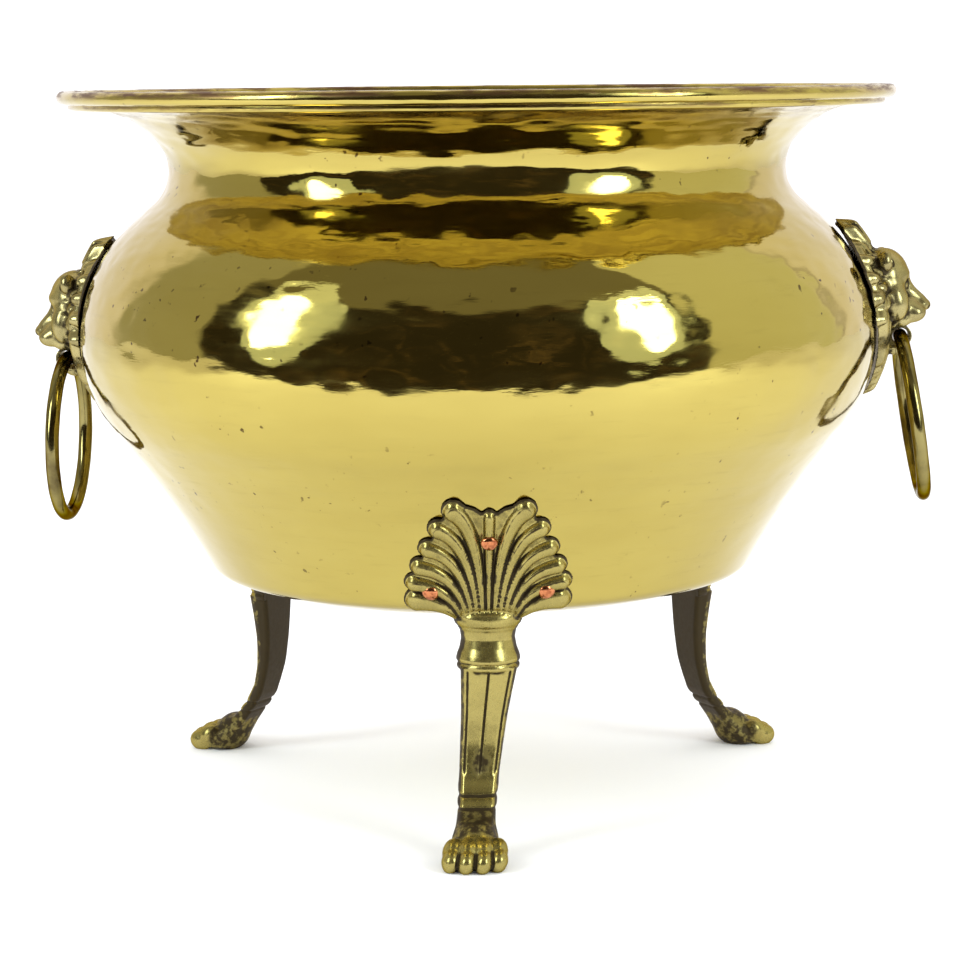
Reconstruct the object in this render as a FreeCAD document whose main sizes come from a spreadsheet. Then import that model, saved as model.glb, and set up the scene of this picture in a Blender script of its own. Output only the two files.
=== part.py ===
import FreeCAD, Part
import math
import os

# Hammered brass planter pot on three paw feet, with a lion mask and a drop ring on each side.
#
# Frame: Z up, the floor at Z = 0, the bowl's axis on Z, the two masks on the X axis
# (left on -X, right on +X) and the front leg close to -Y. Millimetres.
#
# The bowl is one raised sheet whose edge is rolled over an iron wire. Each leg is one casting
# (leaf, collar, shaft and paw) held by three copper rivets. Each mask is one casting with a stud
# on its back, held by a washer and a nut inside the bowl. The rings hang in the masks' mouths.

# Driving dimensions: alias, value, what it is.
DIMENSIONS = [
    ("wall", 1.1, "thickness of the bowl's sheet"),
    ("base_height", 97.3, "underside of the bowl above the floor"),
    ("base_flat", 81.7, "radius of the flat middle of the base"),
    ("dish_radius", 112.7, "bend of the base from its flat to its corner"),
    ("dish_turn", 19.9, "degrees"),
    ("corner_radius", 10.3, "bend between base and cone"),
    ("corner_turn", 41.1, "degrees"),
    ("cone_radius", 419.0, "slight hollow of the lower cone"),
    ("cone_turn", 10.3, "degrees, to the right"),
    ("belly_low_radius", 65.7, "belly below its widest part"),
    ("belly_low_turn", 64.6, "degrees"),
    ("belly_high_radius", 72.3, "shoulder above the belly"),
    ("belly_high_turn", 23.7, "degrees"),
    ("shoulder_run", 14.0, "straight stretch up to the neck"),
    ("neck_radius", 19.3, "hollow of the neck"),
    ("neck_turn", 87.7, "degrees, to the right"),
    ("flare_radius", 41.5, "flare of the flange"),
    ("flare_turn", 51.3, "degrees, to the right"),
    ("upturn_radius", 1.9, "outside bend at the foot of the rolled edge"),
    ("rim_radius", 187.0, "radius of the rim wire's centre line"),
    ("rim_height", 321.4, "height of the rim wire's centre line"),
    ("rim_wire_radius", 1.85, "iron wire in the rolled edge"),
    ("curl_turn", 280.0, "degrees that the edge is rolled round the wire"),
    ("fit_gap", 0.05, "clearance of wire, rivets and studs in their holes"),
    ("seat_gap", 0.15, "gap between a casting and the skin of the bowl"),
    ("leg_turn", 4.2, "degrees that the legs are set round from square with the masks"),
    ("leg_step", 120.0, "degrees between legs"),
    ("front_leg_shift", 1.4, "degrees that the front leg stands off an even spacing"),
    ("front_leg_sway", 5.8, "degrees that the front leg is bent sideways below its collar"),
    ("leaf_thickness", 3.3, "leaf of a leg, measured square to the bowl"),
    ("leaf_bottom", 99.5, "height of the leaf's root inside the collar"),
    ("leaf_low", 108.5, "height of the leaf's widest point"),
    ("leaf_high", 154.0, "height where the side petals end"),
    ("leaf_top", 158.0, "height of the two top lobes"),
    ("leaf_notch", 152.5, "height of the notch between the lobes"),
    ("leaf_low_half", 35.8, "half width at the widest point"),
    ("leaf_high_half", 19.3, "half width across the top lobes"),
    ("collar_axis", 114.0, "radius where the half-round collar has its flat back"),
    ("collar_bead", 14.75, "radius of the collar's upper bead"),
    ("collar_waist", 11.85, "radius of the collar's waist"),
    ("collar_low_bead", 13.75, "radius of the collar's lower bead"),
    ("collar_top", 102.8, "top of the collar"),
    ("collar_bottom", 78.3, "bottom of the collar"),
    ("paw_reach", 164.0, "radius of the longest toe's tip"),
    ("paw_width", 25.6, "width over the toes"),
    ("paw_height", 15.5, "height of the knuckles"),
    ("rivet_head_radius", 3.65, "copper rivet"),
    ("rivet_head_height", 2.2, "copper rivet"),
    ("rivet_shank_radius", 1.6, "copper rivet"),
    ("rivet_tail_radius", 2.9, "hammered end inside the bowl"),
    ("rivet_tail_height", 1.2, "hammered end inside the bowl"),
    ("rivet_tail_gap", 0.6, "gap between the hammered end and the bowl"),
    ("rivet_high", 139.5, "height of the upper rivet"),
    ("rivet_low", 115.6, "height of the two lower rivets"),
    ("rivet_spread", 23.9, "sideways distance of a lower rivet from the leg's middle"),
    ("mask_left_height", 216.5, "height of the left mask's middle"),
    ("mask_left_lean", 1.5, "degrees that the left mask leans back"),
    ("mask_right_height", 224.5, "height of the right mask's middle"),
    ("mask_right_lean", 8.7, "degrees that the right mask leans back"),
    ("mask_half_height", 41.5, "from the middle to the crest's tip"),
    ("mask_half_width", 30.0, "from the middle to the side of the mane"),
    ("mask_standoff", 1.8, "gap between the mask's back and the bowl"),
    ("mask_plate", 4.8, "thickness of the mane"),
    ("jaw_out", 9.2, "ring pivot, outward from the bowl's skin"),
    ("jaw_down", 15.8, "ring pivot, below the mask's middle"),
    ("jaw_half_width", 5.5, "half width of the jaw that the ring runs through"),
    ("jaw_radius", 5.6, "outside of the jaw"),
    ("jaw_bore", 4.1, "hole for the ring"),
    ("boss_radius", 7.0, "boss behind the mask"),
    ("stud_radius", 2.5, "threaded stud"),
    ("stud_end", 8.0, "how far the stud reaches inside the bowl's skin"),
    ("washer_radius", 6.0, "washer"),
    ("washer_thickness", 1.0, "washer"),
    ("washer_set", 1.55, "outer face of the washer inside the bowl's skin"),
    ("nut_flats", 8.0, "hexagon nut across flats"),
    ("nut_thickness", 4.0, "hexagon nut"),
    ("ring_radius", 36.75, "drop ring, to the middle of its wire"),
    ("ring_wire_radius", 3.25, "drop ring"),
]

X_AXIS = FreeCAD.Vector(1, 0, 0)
Y_AXIS = FreeCAD.Vector(0, 1, 0)
Z_AXIS = FreeCAD.Vector(0, 0, 1)
ORIGIN = FreeCAD.Vector(0, 0, 0)
TOE_COUNT = 4
PETALS_PER_SIDE = 5
LEAF_SWEEP = 50.0      # degrees round the pot that the leaf's blank covers
BEYOND = 200.0         # half of a square that reaches past any piece that it trims
DRILL_START = -10.0    # inside the bowl's skin, where every drilled hole begins
DRILL_LENGTH = 20.0

# The shaft of a leg: radius of its back, radius of its front, width and height of each section.
SHAFT_SECTIONS = [(114.0, 125.5, 24.4, 80.0), (114.3, 123.2, 20.4, 60.0), (116.8, 123.2, 17.9, 40.0),
                  (122.8, 129.4, 16.6, 27.0), (128.4, 135.2, 16.8, 19.5), (135.5, 146.0, 20.0, 10.0)]

# Round forms of the lion's face: name, middle (outward, sideways, up), radii the same way.
SKULL = ("skull", (6.0, 0.0, 10.5), (11.0, 19.0, 14.5))
MUZZLE = ("muzzle", (14.0, 0.0, -3.0), (9.4, 11.6, 8.2))
NOSE = ("nose", (21.6, 0.0, -3.4), (4.2, 5.0, 3.6))

doc = FreeCAD.newDocument("planter_pot")


# ---------------------------------------------------------------- sheet

def make_sheet():
    sheet = doc.addObject("Spreadsheet::Sheet", "dims")
    for row, (alias, value, note) in enumerate(DIMENSIONS, start=1):
        sheet.set(f"A{row}", alias)
        sheet.set(f"B{row}", str(value))
        sheet.setAlias(f"B{row}", alias)
        sheet.set(f"C{row}", note)
    doc.recompute()
    return sheet


sheet = make_sheet()


def dim(alias):
    """The value of one driving dimension, read from the sheet."""
    return float(sheet.get(alias))


# ---------------------------------------------------------------- helpers

class TangentLine:
    """A chain of named straight runs and arcs, each tangent to the one before it.

    It is drawn in a plane as (across, up). Positive turns are to the left, and a
    positive offset gives the same chain shifted to its left."""

    def __init__(self, start):
        self.point = start
        self.heading = 0.0
        self.pieces = {}

    def straight(self, name, length):
        self.pieces[name] = (self.point, self.heading, length, None)
        self.point = (self.point[0] + length * math.cos(self.heading),
                      self.point[1] + length * math.sin(self.heading))

    def bend(self, name, radius, turn_degrees):
        turn = math.radians(turn_degrees)
        signed = math.copysign(radius, turn)
        self.pieces[name] = (self.point, self.heading, signed, turn)
        centre = self._centre(name)
        self.heading += turn
        self.point = (centre[0] + signed * math.sin(self.heading),
                      centre[1] - signed * math.cos(self.heading))

    def edges(self, offset, first=None, last=None):
        """The edges of the pieces from first to last, shifted to the left."""
        names = list(self.pieces)
        start = names.index(first) if first else 0
        stop = names.index(last) + 1 if last else len(names)
        return [self._edge(name, offset) for name in names[start:stop]]

    def start(self, name, offset):
        """Where a piece starts, shifted to the left."""
        place, heading = self.pieces[name][:2]
        return FreeCAD.Vector(*self._shifted(place, heading, offset), 0)

    def end(self, offset):
        return FreeCAD.Vector(*self._shifted(self.point, self.heading, offset), 0)

    def at_height(self, height):
        """Distance from the axis and heading where the chain's arcs pass a height."""
        for name, (_, heading, signed, turn) in self.pieces.items():
            if turn is None:
                continue
            centre = self._centre(name)
            cosine = (centre[1] - height) / signed
            if abs(cosine) <= 1:
                angle = math.acos(cosine)
                if min(heading, heading + turn) <= angle <= max(heading, heading + turn):
                    return centre[0] + signed * math.sin(angle), angle
        raise ValueError(f"no arc at height {height}")

    def _centre(self, name):
        place, heading, signed, _ = self.pieces[name]
        return self._shifted(place, heading, signed)

    @staticmethod
    def _shifted(place, heading, offset):
        return (place[0] - offset * math.sin(heading), place[1] + offset * math.cos(heading))

    def _edge(self, name, offset):
        place, heading, size, turn = self.pieces[name]
        if turn is None:
            first = self.start(name, offset)
            ahead = FreeCAD.Vector(math.cos(heading), math.sin(heading), 0)
            return Part.LineSegment(first, first + ahead * size)
        side = -math.copysign(math.pi / 2, size)
        angles = sorted((heading + side, heading + turn + side))
        circle = Part.Circle(FreeCAD.Vector(*self._centre(name), 0), Z_AXIS, abs(size - offset))
        return Part.ArcOfCircle(circle, *angles)


def points(*pairs):
    return [FreeCAD.Vector(across, up, 0) for across, up in pairs]


def polyline(corners, closed=True):
    ends = corners[1:] + corners[:1] if closed else corners[1:]
    return [Part.LineSegment(first, last) for first, last in zip(corners, ends)]


def new_body(name):
    return doc.addObject("PartDesign::Body", name)


def new_sketch(body, name, role, edges, height=0.0):
    """A sketch on one of the body's own origin planes, raised along the plane's normal."""
    sketch = body.newObject("Sketcher::SketchObject", name)
    plane = next(item for item in body.Origin.OriginFeatures if item.Role == role)
    sketch.AttachmentSupport = [(plane, "")]
    sketch.MapMode = "FlatFace"
    sketch.AttachmentOffset = FreeCAD.Placement(Z_AXIS * height, FreeCAD.Rotation())
    sketch.addGeometry(edges, False)
    return sketch


def revolve(body, name, sketch, angle=360.0, axis="V_Axis"):
    turned = body.newObject("PartDesign::Revolution", name)
    turned.Profile = sketch
    turned.ReferenceAxis = (sketch, [axis])
    turned.Angle = angle
    turned.Midplane = angle < 360.0
    return turned


def pad(body, name, sketch, length, midplane=False, reverse=False):
    """A pad whose length is a number or an expression on the sheet."""
    grown = body.newObject("PartDesign::Pad", name)
    grown.Profile = sketch
    if isinstance(length, str):
        grown.setExpression("Length", length)
    else:
        grown.Length = length
    grown.SideType = 2 if midplane else 0
    grown.Reversed = reverse
    return grown


def pocket_through(body, name, sketch):
    """A pocket through everything on both sides of its sketch."""
    cut = body.newObject("PartDesign::Pocket", name)
    cut.Profile = sketch
    cut.SideType = 2
    cut.Type = 1
    return cut


def ellipsoid(body, name, centre, radii):
    blob = body.newObject("PartDesign::AdditiveEllipsoid", name)
    blob.Radius2, blob.Radius3, blob.Radius1 = radii
    blob.Placement = FreeCAD.Placement(FreeCAD.Vector(*centre), FreeCAD.Rotation())
    return blob


def cylinder(name, radius, length, placement):
    """A cylinder that starts at the placement's origin and runs along its Z axis."""
    rod = doc.addObject("Part::Cylinder", name)
    rod.setExpression("Radius", radius)
    rod.Height = length
    rod.Placement = placement
    return rod


def cut_away(label, base, tools):
    """The base less all the tools, as a sub-part with its own label."""
    merged = doc.addObject("Part::MultiFuse", f"{label}_tools")
    merged.Shapes = tools
    result = doc.addObject("Part::Cut", f"{label}_cut")
    result.Base = base
    result.Tool = merged
    result.Label = label
    return result


def outside_of(outline, size):
    """Edges of a big square with a closed outline inside it: what a pocket trims away."""
    square = points((-size, -size), (size, -size), (size, size), (-size, size))
    return polyline(square) + outline


def mirrored(edges):
    """The same edges on the other side of the sketch's vertical axis."""
    copies = [edge.copy() for edge in edges]
    for copy in copies:
        copy.mirror(ORIGIN, Y_AXIS)
    return copies


# ---------------------------------------------------------------- bowl

def wall_line():
    """Outside of the bowl from the axis to the end of the rolled edge."""
    line = TangentLine((0.0, dim("base_height")))
    line.straight("base", dim("base_flat"))
    line.bend("dish", dim("dish_radius"), dim("dish_turn"))
    line.bend("corner", dim("corner_radius"), dim("corner_turn"))
    line.bend("cone", dim("cone_radius"), -dim("cone_turn"))
    line.bend("belly_low", dim("belly_low_radius"), dim("belly_low_turn"))
    line.bend("belly_high", dim("belly_high_radius"), dim("belly_high_turn"))
    line.straight("shoulder", dim("shoulder_run"))
    line.bend("neck", dim("neck_radius"), -dim("neck_turn"))
    line.bend("flare", dim("flare_radius"), -dim("flare_turn"))
    curl = dim("rim_wire_radius") + dim("fit_gap")
    upturn = dim("upturn_radius")
    line.straight("flange", dim("rim_radius") - curl - upturn - line.point[0])
    line.bend("upturn", upturn, 90.0)
    line.straight("rise", dim("rim_height") - line.point[1])
    line.bend("curl", curl, -dim("curl_turn"))
    return line


WALL = wall_line()


def make_bowl_skin():
    body = new_body("bowl_skin")
    thickness = dim("wall")
    low = points((0, dim("base_height")), (0, dim("base_height") + thickness))
    closing = [Part.LineSegment(*low), Part.LineSegment(WALL.end(0), WALL.end(thickness))]
    section = new_sketch(body, "bowl_section", "XZ_Plane",
                         WALL.edges(0) + WALL.edges(thickness) + closing)
    revolve(body, "bowl_turned", section)
    return body


def make_rim_wire():
    wire = doc.addObject("Part::Torus", "rim_wire")
    wire.setExpression("Radius1", "dims.rim_radius")
    wire.setExpression("Radius2", "dims.rim_wire_radius")
    wire.Placement = FreeCAD.Placement(Z_AXIS * dim("rim_height"), FreeCAD.Rotation())
    return wire


def make_seat():
    """The space that the bowl fills, grown by the seat gap: it trims the backs of the leaves."""
    gap = dim("seat_gap")
    body = new_body("bowl_seat")
    top = WALL.start("belly_high", -gap)
    closing = points((top.x, top.y), (0, top.y), (0, dim("base_height") - gap))
    section = new_sketch(body, "seat_section", "XZ_Plane",
                         WALL.edges(-gap, "base", "belly_low") + polyline(closing, closed=False))
    revolve(body, "seat_turned", section)
    return body


# ---------------------------------------------------------------- legs

def leaf_outline():
    """Front view of the leaf: lobed sides, two round lobes on top, a notch between them."""
    low_half, high_half = dim("leaf_low_half"), dim("leaf_high_half")
    low, high, bulge = dim("leaf_low"), dim("leaf_high"), 2.2
    root = points((0, dim("leaf_bottom")), (dim("collar_waist"), dim("leaf_bottom")), (low_half - 3, low - 3))
    edges = polyline(root, closed=False)
    tips = [(low_half - 3, low - 3)]
    for petal in range(1, PETALS_PER_SIDE + 1):
        share = petal / PETALS_PER_SIDE
        tips.append((low_half + (high_half - low_half) * share, low + (high - low) * share))
    for first, last in zip(tips, tips[1:]):
        middle = ((first[0] + last[0]) / 2 + bulge, (first[1] + last[1]) / 2 + bulge / 3)
        edges.append(Part.Arc(*points(first, middle, last)))
    lobe_top = (high_half / 2, dim("leaf_top"))
    edges.append(Part.Arc(*points(tips[-1], lobe_top, (0, dim("leaf_notch")))))
    return edges + mirrored(edges)


def make_leg_casting(name, sway):
    """One leg as cast, standing at +X, before it is fitted to the bowl."""
    body = new_body(name)
    add_leaf(body, name)
    add_collar(body, name)
    add_shaft(body, name, sway)
    add_paw(body, name, sway)
    return body


def sideways_at(height, sway):
    """Where the middle of a leg is, sideways, when it is bent by some degrees below its collar."""
    return -max(0.0, dim("collar_bottom") - height) * math.tan(math.radians(sway))


def add_leaf(body, name):
    """A band turned round the pot's axis, as thick as the leaf, then trimmed to the outline."""
    front, back = -dim("leaf_thickness") - dim("seat_gap"), dim("wall")
    caps = [Part.LineSegment(WALL.start(piece, front), WALL.start(piece, back))
            for piece in ("corner", "belly_low")]
    band = WALL.edges(front, "corner", "cone") + WALL.edges(back, "corner", "cone") + caps
    section = new_sketch(body, f"{name}_leaf_section", "XZ_Plane", band)
    revolve(body, f"{name}_leaf_band", section, angle=LEAF_SWEEP)
    trim = new_sketch(body, f"{name}_leaf_outline", "YZ_Plane", outside_of(leaf_outline(), BEYOND))
    pocket_through(body, f"{name}_leaf_trimmed", trim)


def add_collar(body, name):
    """Half of a turned collar: bead, waist, bead, with its flat back to the middle of the pot."""
    axis, top, bottom = dim("collar_axis"), dim("collar_top"), dim("collar_bottom")
    bead, waist, low_bead = dim("collar_bead"), dim("collar_waist"), dim("collar_low_bead")
    bead_height = 5.5
    low_bead_height = 7.0
    upper = points((axis + bead - 1.5, top), (axis + bead, top - bead_height / 2),
                   (axis + bead - 1.5, top - bead_height))
    hollow = points((axis + bead - 1.5, top - bead_height), (axis + waist, (top + bottom) / 2 + 1),
                    (axis + low_bead - 1.2, bottom + low_bead_height))
    lower = points((axis + low_bead - 1.2, bottom + low_bead_height),
                   (axis + low_bead, bottom + low_bead_height / 2), (axis + low_bead - 1.5, bottom))
    closing = points((axis + low_bead - 1.5, bottom), (axis, bottom), (axis, top),
                     (axis + bead - 1.5, top))
    edges = [Part.Arc(*upper), Part.Arc(*hollow), Part.Arc(*lower)] + polyline(closing, closed=False)
    section = new_sketch(body, f"{name}_collar_section", "XZ_Plane", edges)
    section.addGeometry(Part.LineSegment(*points((axis, bottom), (axis, top))), True)
    revolve(body, f"{name}_collar", section, angle=180.0, axis="Axis0")


def add_shaft(body, name, sway):
    """A loft of shallow D sections, flat side to the middle of the pot."""
    sections = []
    for number, (back, front, width, height) in enumerate(SHAFT_SECTIONS, start=1):
        middle = sideways_at(height, sway)
        corners = points((back, middle - width / 2), (front, middle), (back, middle + width / 2))
        edges = [Part.Arc(*corners), Part.LineSegment(corners[2], corners[0])]
        sections.append(new_sketch(body, f"{name}_shaft_{number}", "XY_Plane", edges, height))
    loft = body.newObject("PartDesign::AdditiveLoft", f"{name}_shaft")
    loft.Profile = sections[0]
    loft.Sections = sections[1:]


def add_paw(body, name, sway):
    """The ball of the paw and its toes, as round forms that run below the floor."""
    top, reach = dim("paw_height"), dim("paw_reach")
    ball_at, ball_radii, ball_down = 148.0, (12.5, 10.5, 9.5), 10.5
    toe_radii, toe_down = (10.5, 3.7, 8.8), 9.5
    middle = sideways_at(top / 2, sway)
    ellipsoid(body, f"{name}_ball", (ball_at, middle, top - ball_down), ball_radii)
    pitch = (dim("paw_width") - 2 * toe_radii[1]) / (TOE_COUNT - 1)
    for toe in range(TOE_COUNT):
        sideways = (toe - (TOE_COUNT - 1) / 2) * pitch
        shortened = 0.25 * abs(sideways)
        centre = (reach - toe_radii[0] - shortened, middle + sideways, top - toe_down)
        ellipsoid(body, f"{name}_toe_{toe + 1}", centre, toe_radii)


def on_cone(height, azimuth):
    """Placement on the cone's skin with its X axis along the outward normal."""
    radius, heading = WALL.at_height(height)
    turn = FreeCAD.Rotation(Z_AXIS, azimuth)
    tip = FreeCAD.Rotation(Y_AXIS, 90.0 - math.degrees(heading))
    return FreeCAD.Placement(turn.multVec(FreeCAD.Vector(radius, 0, height)), turn * tip)


def rivet_places():
    """The three rivets of a leg that stands at +X."""
    low_radius = WALL.at_height(dim("rivet_low"))[0]
    spread = math.degrees(math.asin(dim("rivet_spread") / low_radius))
    return {"top": on_cone(dim("rivet_high"), 0.0),
            "left": on_cone(dim("rivet_low"), -spread),
            "right": on_cone(dim("rivet_low"), spread)}


def dome(radius, height, base, up):
    """Arc from the rim of a round cap to its top on the axis; up is 1 or -1."""
    sphere = (radius ** 2 + height ** 2) / (2 * height)
    rim = math.acos(radius / sphere)
    angles = sorted((up * rim, up * math.pi / 2))
    centre = FreeCAD.Vector(0, base + up * (height - sphere), 0)
    return Part.ArcOfCircle(Part.Circle(centre, Z_AXIS, sphere), *angles)


def make_rivet(label, placement):
    """Domed head on the leaf, shank through leaf and bowl, hammered tail inside the bowl."""
    body = new_body(f"{label}_body")
    head, shank, tail = dim("rivet_head_radius"), dim("rivet_shank_radius"), dim("rivet_tail_radius")
    head_height, tail_height = dim("rivet_head_height"), dim("rivet_tail_height")
    face = dim("leaf_thickness") + dim("seat_gap") + dim("fit_gap")
    inside = -dim("wall") - dim("rivet_tail_gap")
    edges = [dome(head, head_height, face, 1), dome(tail, tail_height, inside, -1)]
    edges += polyline(points((head, face), (shank, face), (shank, inside), (tail, inside)), closed=False)
    edges += polyline(points((0, face + head_height), (0, inside - tail_height)), closed=False)
    section = new_sketch(body, f"{label}_section", "XZ_Plane", edges)
    revolve(body, f"{label}_turned", section)
    upright_to_outward = FreeCAD.Rotation(Y_AXIS, 90.0)
    body.Placement = placement * FreeCAD.Placement(ORIGIN, upright_to_outward)
    body.Label = label
    return body


def make_rivet_hole(name, placement):
    start = placement * FreeCAD.Placement(X_AXIS * DRILL_START, FreeCAD.Rotation(Y_AXIS, 90.0))
    return cylinder(name, "dims.rivet_shank_radius + dims.fit_gap", DRILL_LENGTH, start)


def make_floor():
    """Everything below the floor: it flattens the soles."""
    depth = 30.0
    block = doc.addObject("Part::Box", "below_floor")
    block.Length = block.Width = 2 * BEYOND
    block.Height = depth
    block.Placement = FreeCAD.Placement(FreeCAD.Vector(-BEYOND, -BEYOND, -depth), FreeCAD.Rotation())
    return block


def make_leg(label, azimuth, sway, seat, floor):
    """A casting fitted to the bowl, drilled, put in its place and cut off level with the floor."""
    place = FreeCAD.Placement(ORIGIN, FreeCAD.Rotation(Z_AXIS, azimuth))
    spots = rivet_places()
    drills = [make_rivet_hole(f"{label}_drill_{where}", spot) for where, spot in spots.items()]
    fitted = cut_away(f"{label}_fitted", make_leg_casting(f"{label}_casting", sway), [seat] + drills)
    fitted.Placement = place
    leg = doc.addObject("Part::Cut", f"{label}_levelled")
    leg.Base = fitted
    leg.Tool = floor
    leg.Label = label
    rivets = [make_rivet(f"{label}_rivet_{where}", place * spot) for where, spot in spots.items()]
    holes = [make_rivet_hole(f"{label}_hole_{where}", place * spot) for where, spot in spots.items()]
    return [leg] + rivets, holes


def make_legs():
    """The three legs with their rivets; gives the sub-parts and the holes in the bowl."""
    parts, holes = [], []
    floor, seat = make_floor(), make_seat()
    front = dim("leg_turn") - 90.0
    legs = [("leg_front", front + dim("front_leg_shift"), dim("front_leg_sway")),
            ("leg_rear_right", front + dim("leg_step"), 0.0),
            ("leg_rear_left", front - dim("leg_step"), 0.0)]
    for label, azimuth, sway in legs:
        leg_parts, leg_holes = make_leg(label, azimuth, sway, seat, floor)
        parts += leg_parts
        holes += leg_holes
    return parts, holes


# ---------------------------------------------------------------- masks and rings

def mask_outline():
    """Front view of the mask: crest on top, round mane, leaf-shaped beard below."""
    half_width, half_height = dim("mask_half_width"), dim("mask_half_height")
    crest_half, crest_foot = 8.5, 31.0
    beard_half, beard_top = 16.0, -24.0
    edges = [Part.Arc(*points((0, half_height), (crest_half - 1.5, half_height - 2.5),
                              (crest_half, crest_foot))),
             Part.Arc(*points((crest_half, crest_foot), (half_width, 4), (beard_half, beard_top))),
             Part.Arc(*points((beard_half, beard_top), (beard_half / 2, beard_top - 8),
                              (0, 1 - half_height)))]
    return edges + mirrored(edges)


def make_mask(label, placement):
    """One mask as cast, in its own frame: X outward, Z up, its origin on the bowl's skin."""
    body = new_body(f"{label}_body")
    bow, standoff = dim("belly_low_radius"), dim("mask_standoff")
    reach = math.radians(40.0)
    inner, outer = bow + standoff, bow + standoff + dim("mask_plate")
    centre = FreeCAD.Vector(-bow, 0, 0)
    sides = [FreeCAD.Vector(math.cos(angle), math.sin(angle), 0) for angle in (-reach, reach)]
    arcs = [Part.ArcOfCircle(Part.Circle(centre, Z_AXIS, radius), -reach, reach)
            for radius in (inner, outer)]
    ends = [Part.LineSegment(centre + side * inner, centre + side * outer) for side in sides]
    band = new_sketch(body, f"{label}_band", "XZ_Plane", arcs + ends)
    pad(body, f"{label}_plate", band, "2 * dims.mask_half_width + 4", midplane=True)
    trim = new_sketch(body, f"{label}_outline", "YZ_Plane", outside_of(mask_outline(), BEYOND))
    pocket_through(body, f"{label}_trimmed", trim)
    add_form(body, label, SKULL)
    spokes = [Part.LineSegment(centre, centre + side * inner) for side in sides]
    behind = new_sketch(body, f"{label}_behind", "XZ_Plane", [arcs[0]] + spokes)
    pocket_through(body, f"{label}_hollow_back", behind)
    add_form(body, label, MUZZLE)
    add_form(body, label, NOSE)
    add_jaw(body, label)
    add_stud(body, label)
    body.Placement = placement
    body.Label = label
    return body


def add_form(body, label, form):
    name, centre, radii = form
    ellipsoid(body, f"{label}_{name}", centre, radii)


def add_jaw(body, label):
    """A rounded jaw joined to the mane, with a straight hole across it for the ring."""
    out, down, radius = dim("jaw_out"), dim("jaw_down"), dim("jaw_radius")
    back = dim("mask_standoff")
    half_turn = math.pi / 2
    nose = Part.ArcOfCircle(Part.Circle(FreeCAD.Vector(out, -down, 0), Z_AXIS, radius),
                            -half_turn, half_turn)
    sides = points((out, radius - down), (back, radius - down), (back, -radius - down),
                   (out, -radius - down))
    side_view = new_sketch(body, f"{label}_jaw_side", "XZ_Plane", [nose] + polyline(sides, closed=False))
    pad(body, f"{label}_jaw", side_view, "2 * dims.jaw_half_width", midplane=True)
    mouth = Part.Circle(FreeCAD.Vector(out, -down, 0), Z_AXIS, dim("jaw_bore"))
    pocket_through(body, f"{label}_mouth", new_sketch(body, f"{label}_mouth_hole", "XZ_Plane", [mouth]))


def add_stud(body, label):
    """The boss that stands on the bowl and the stud that goes through it."""
    into_face = 8.0
    boss = Part.Circle(ORIGIN, Z_AXIS, dim("boss_radius"))
    boss_sketch = new_sketch(body, f"{label}_boss_round", "YZ_Plane", [boss], dim("seat_gap"))
    pad(body, f"{label}_boss", boss_sketch, into_face)
    stud = Part.Circle(ORIGIN, Z_AXIS, dim("stud_radius"))
    stud_sketch = new_sketch(body, f"{label}_stud_round", "YZ_Plane", [stud], dim("seat_gap") + 1.0)
    pad(body, f"{label}_stud", stud_sketch, "dims.stud_end + dims.seat_gap + 1", reverse=True)


def make_washer(label, placement):
    body = new_body(f"{label}_body")
    rings = [Part.Circle(ORIGIN, Z_AXIS, radius)
             for radius in (dim("washer_radius"), dim("stud_radius") + dim("fit_gap"))]
    face = new_sketch(body, f"{label}_face", "YZ_Plane", rings, -dim("washer_set"))
    pad(body, f"{label}_disc", face, "dims.washer_thickness", reverse=True)
    body.Placement = placement
    body.Label = label
    return body


def make_nut(label, placement):
    body = new_body(f"{label}_body")
    corner = dim("nut_flats") / math.sqrt(3)
    hexagon = [(corner * math.cos(math.radians(side * 60)), corner * math.sin(math.radians(side * 60)))
               for side in range(6)]
    edges = polyline(points(*hexagon))
    edges.append(Part.Circle(ORIGIN, Z_AXIS, dim("stud_radius") + dim("fit_gap")))
    seat = -dim("washer_set") - dim("washer_thickness") - dim("fit_gap")
    face = new_sketch(body, f"{label}_face", "YZ_Plane", edges, seat)
    pad(body, f"{label}_hexagon", face, "dims.nut_thickness", reverse=True)
    body.Placement = placement
    body.Label = label
    return body


def make_ring(label, placement):
    """A wire ring that hangs square across the mask, its top inside the jaw."""
    ring = doc.addObject("Part::Torus", label)
    ring.setExpression("Radius1", "dims.ring_radius")
    ring.setExpression("Radius2", "dims.ring_wire_radius")
    middle = FreeCAD.Vector(dim("jaw_out"), 0, -dim("jaw_down") - dim("ring_radius"))
    ring.Placement = placement * FreeCAD.Placement(middle, FreeCAD.Rotation(Y_AXIS, 90.0))
    ring.Label = label
    return ring


def mask_placement(side, azimuth):
    """On the bowl's skin at the mask's height, X outward and leaning back."""
    height = dim(f"mask_{side}_height")
    radius = WALL.at_height(height)[0]
    turn = FreeCAD.Rotation(Z_AXIS, azimuth)
    lean = FreeCAD.Rotation(Y_AXIS, -dim(f"mask_{side}_lean"))
    return FreeCAD.Placement(turn.multVec(FreeCAD.Vector(radius, 0, height)), turn * lean)


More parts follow.
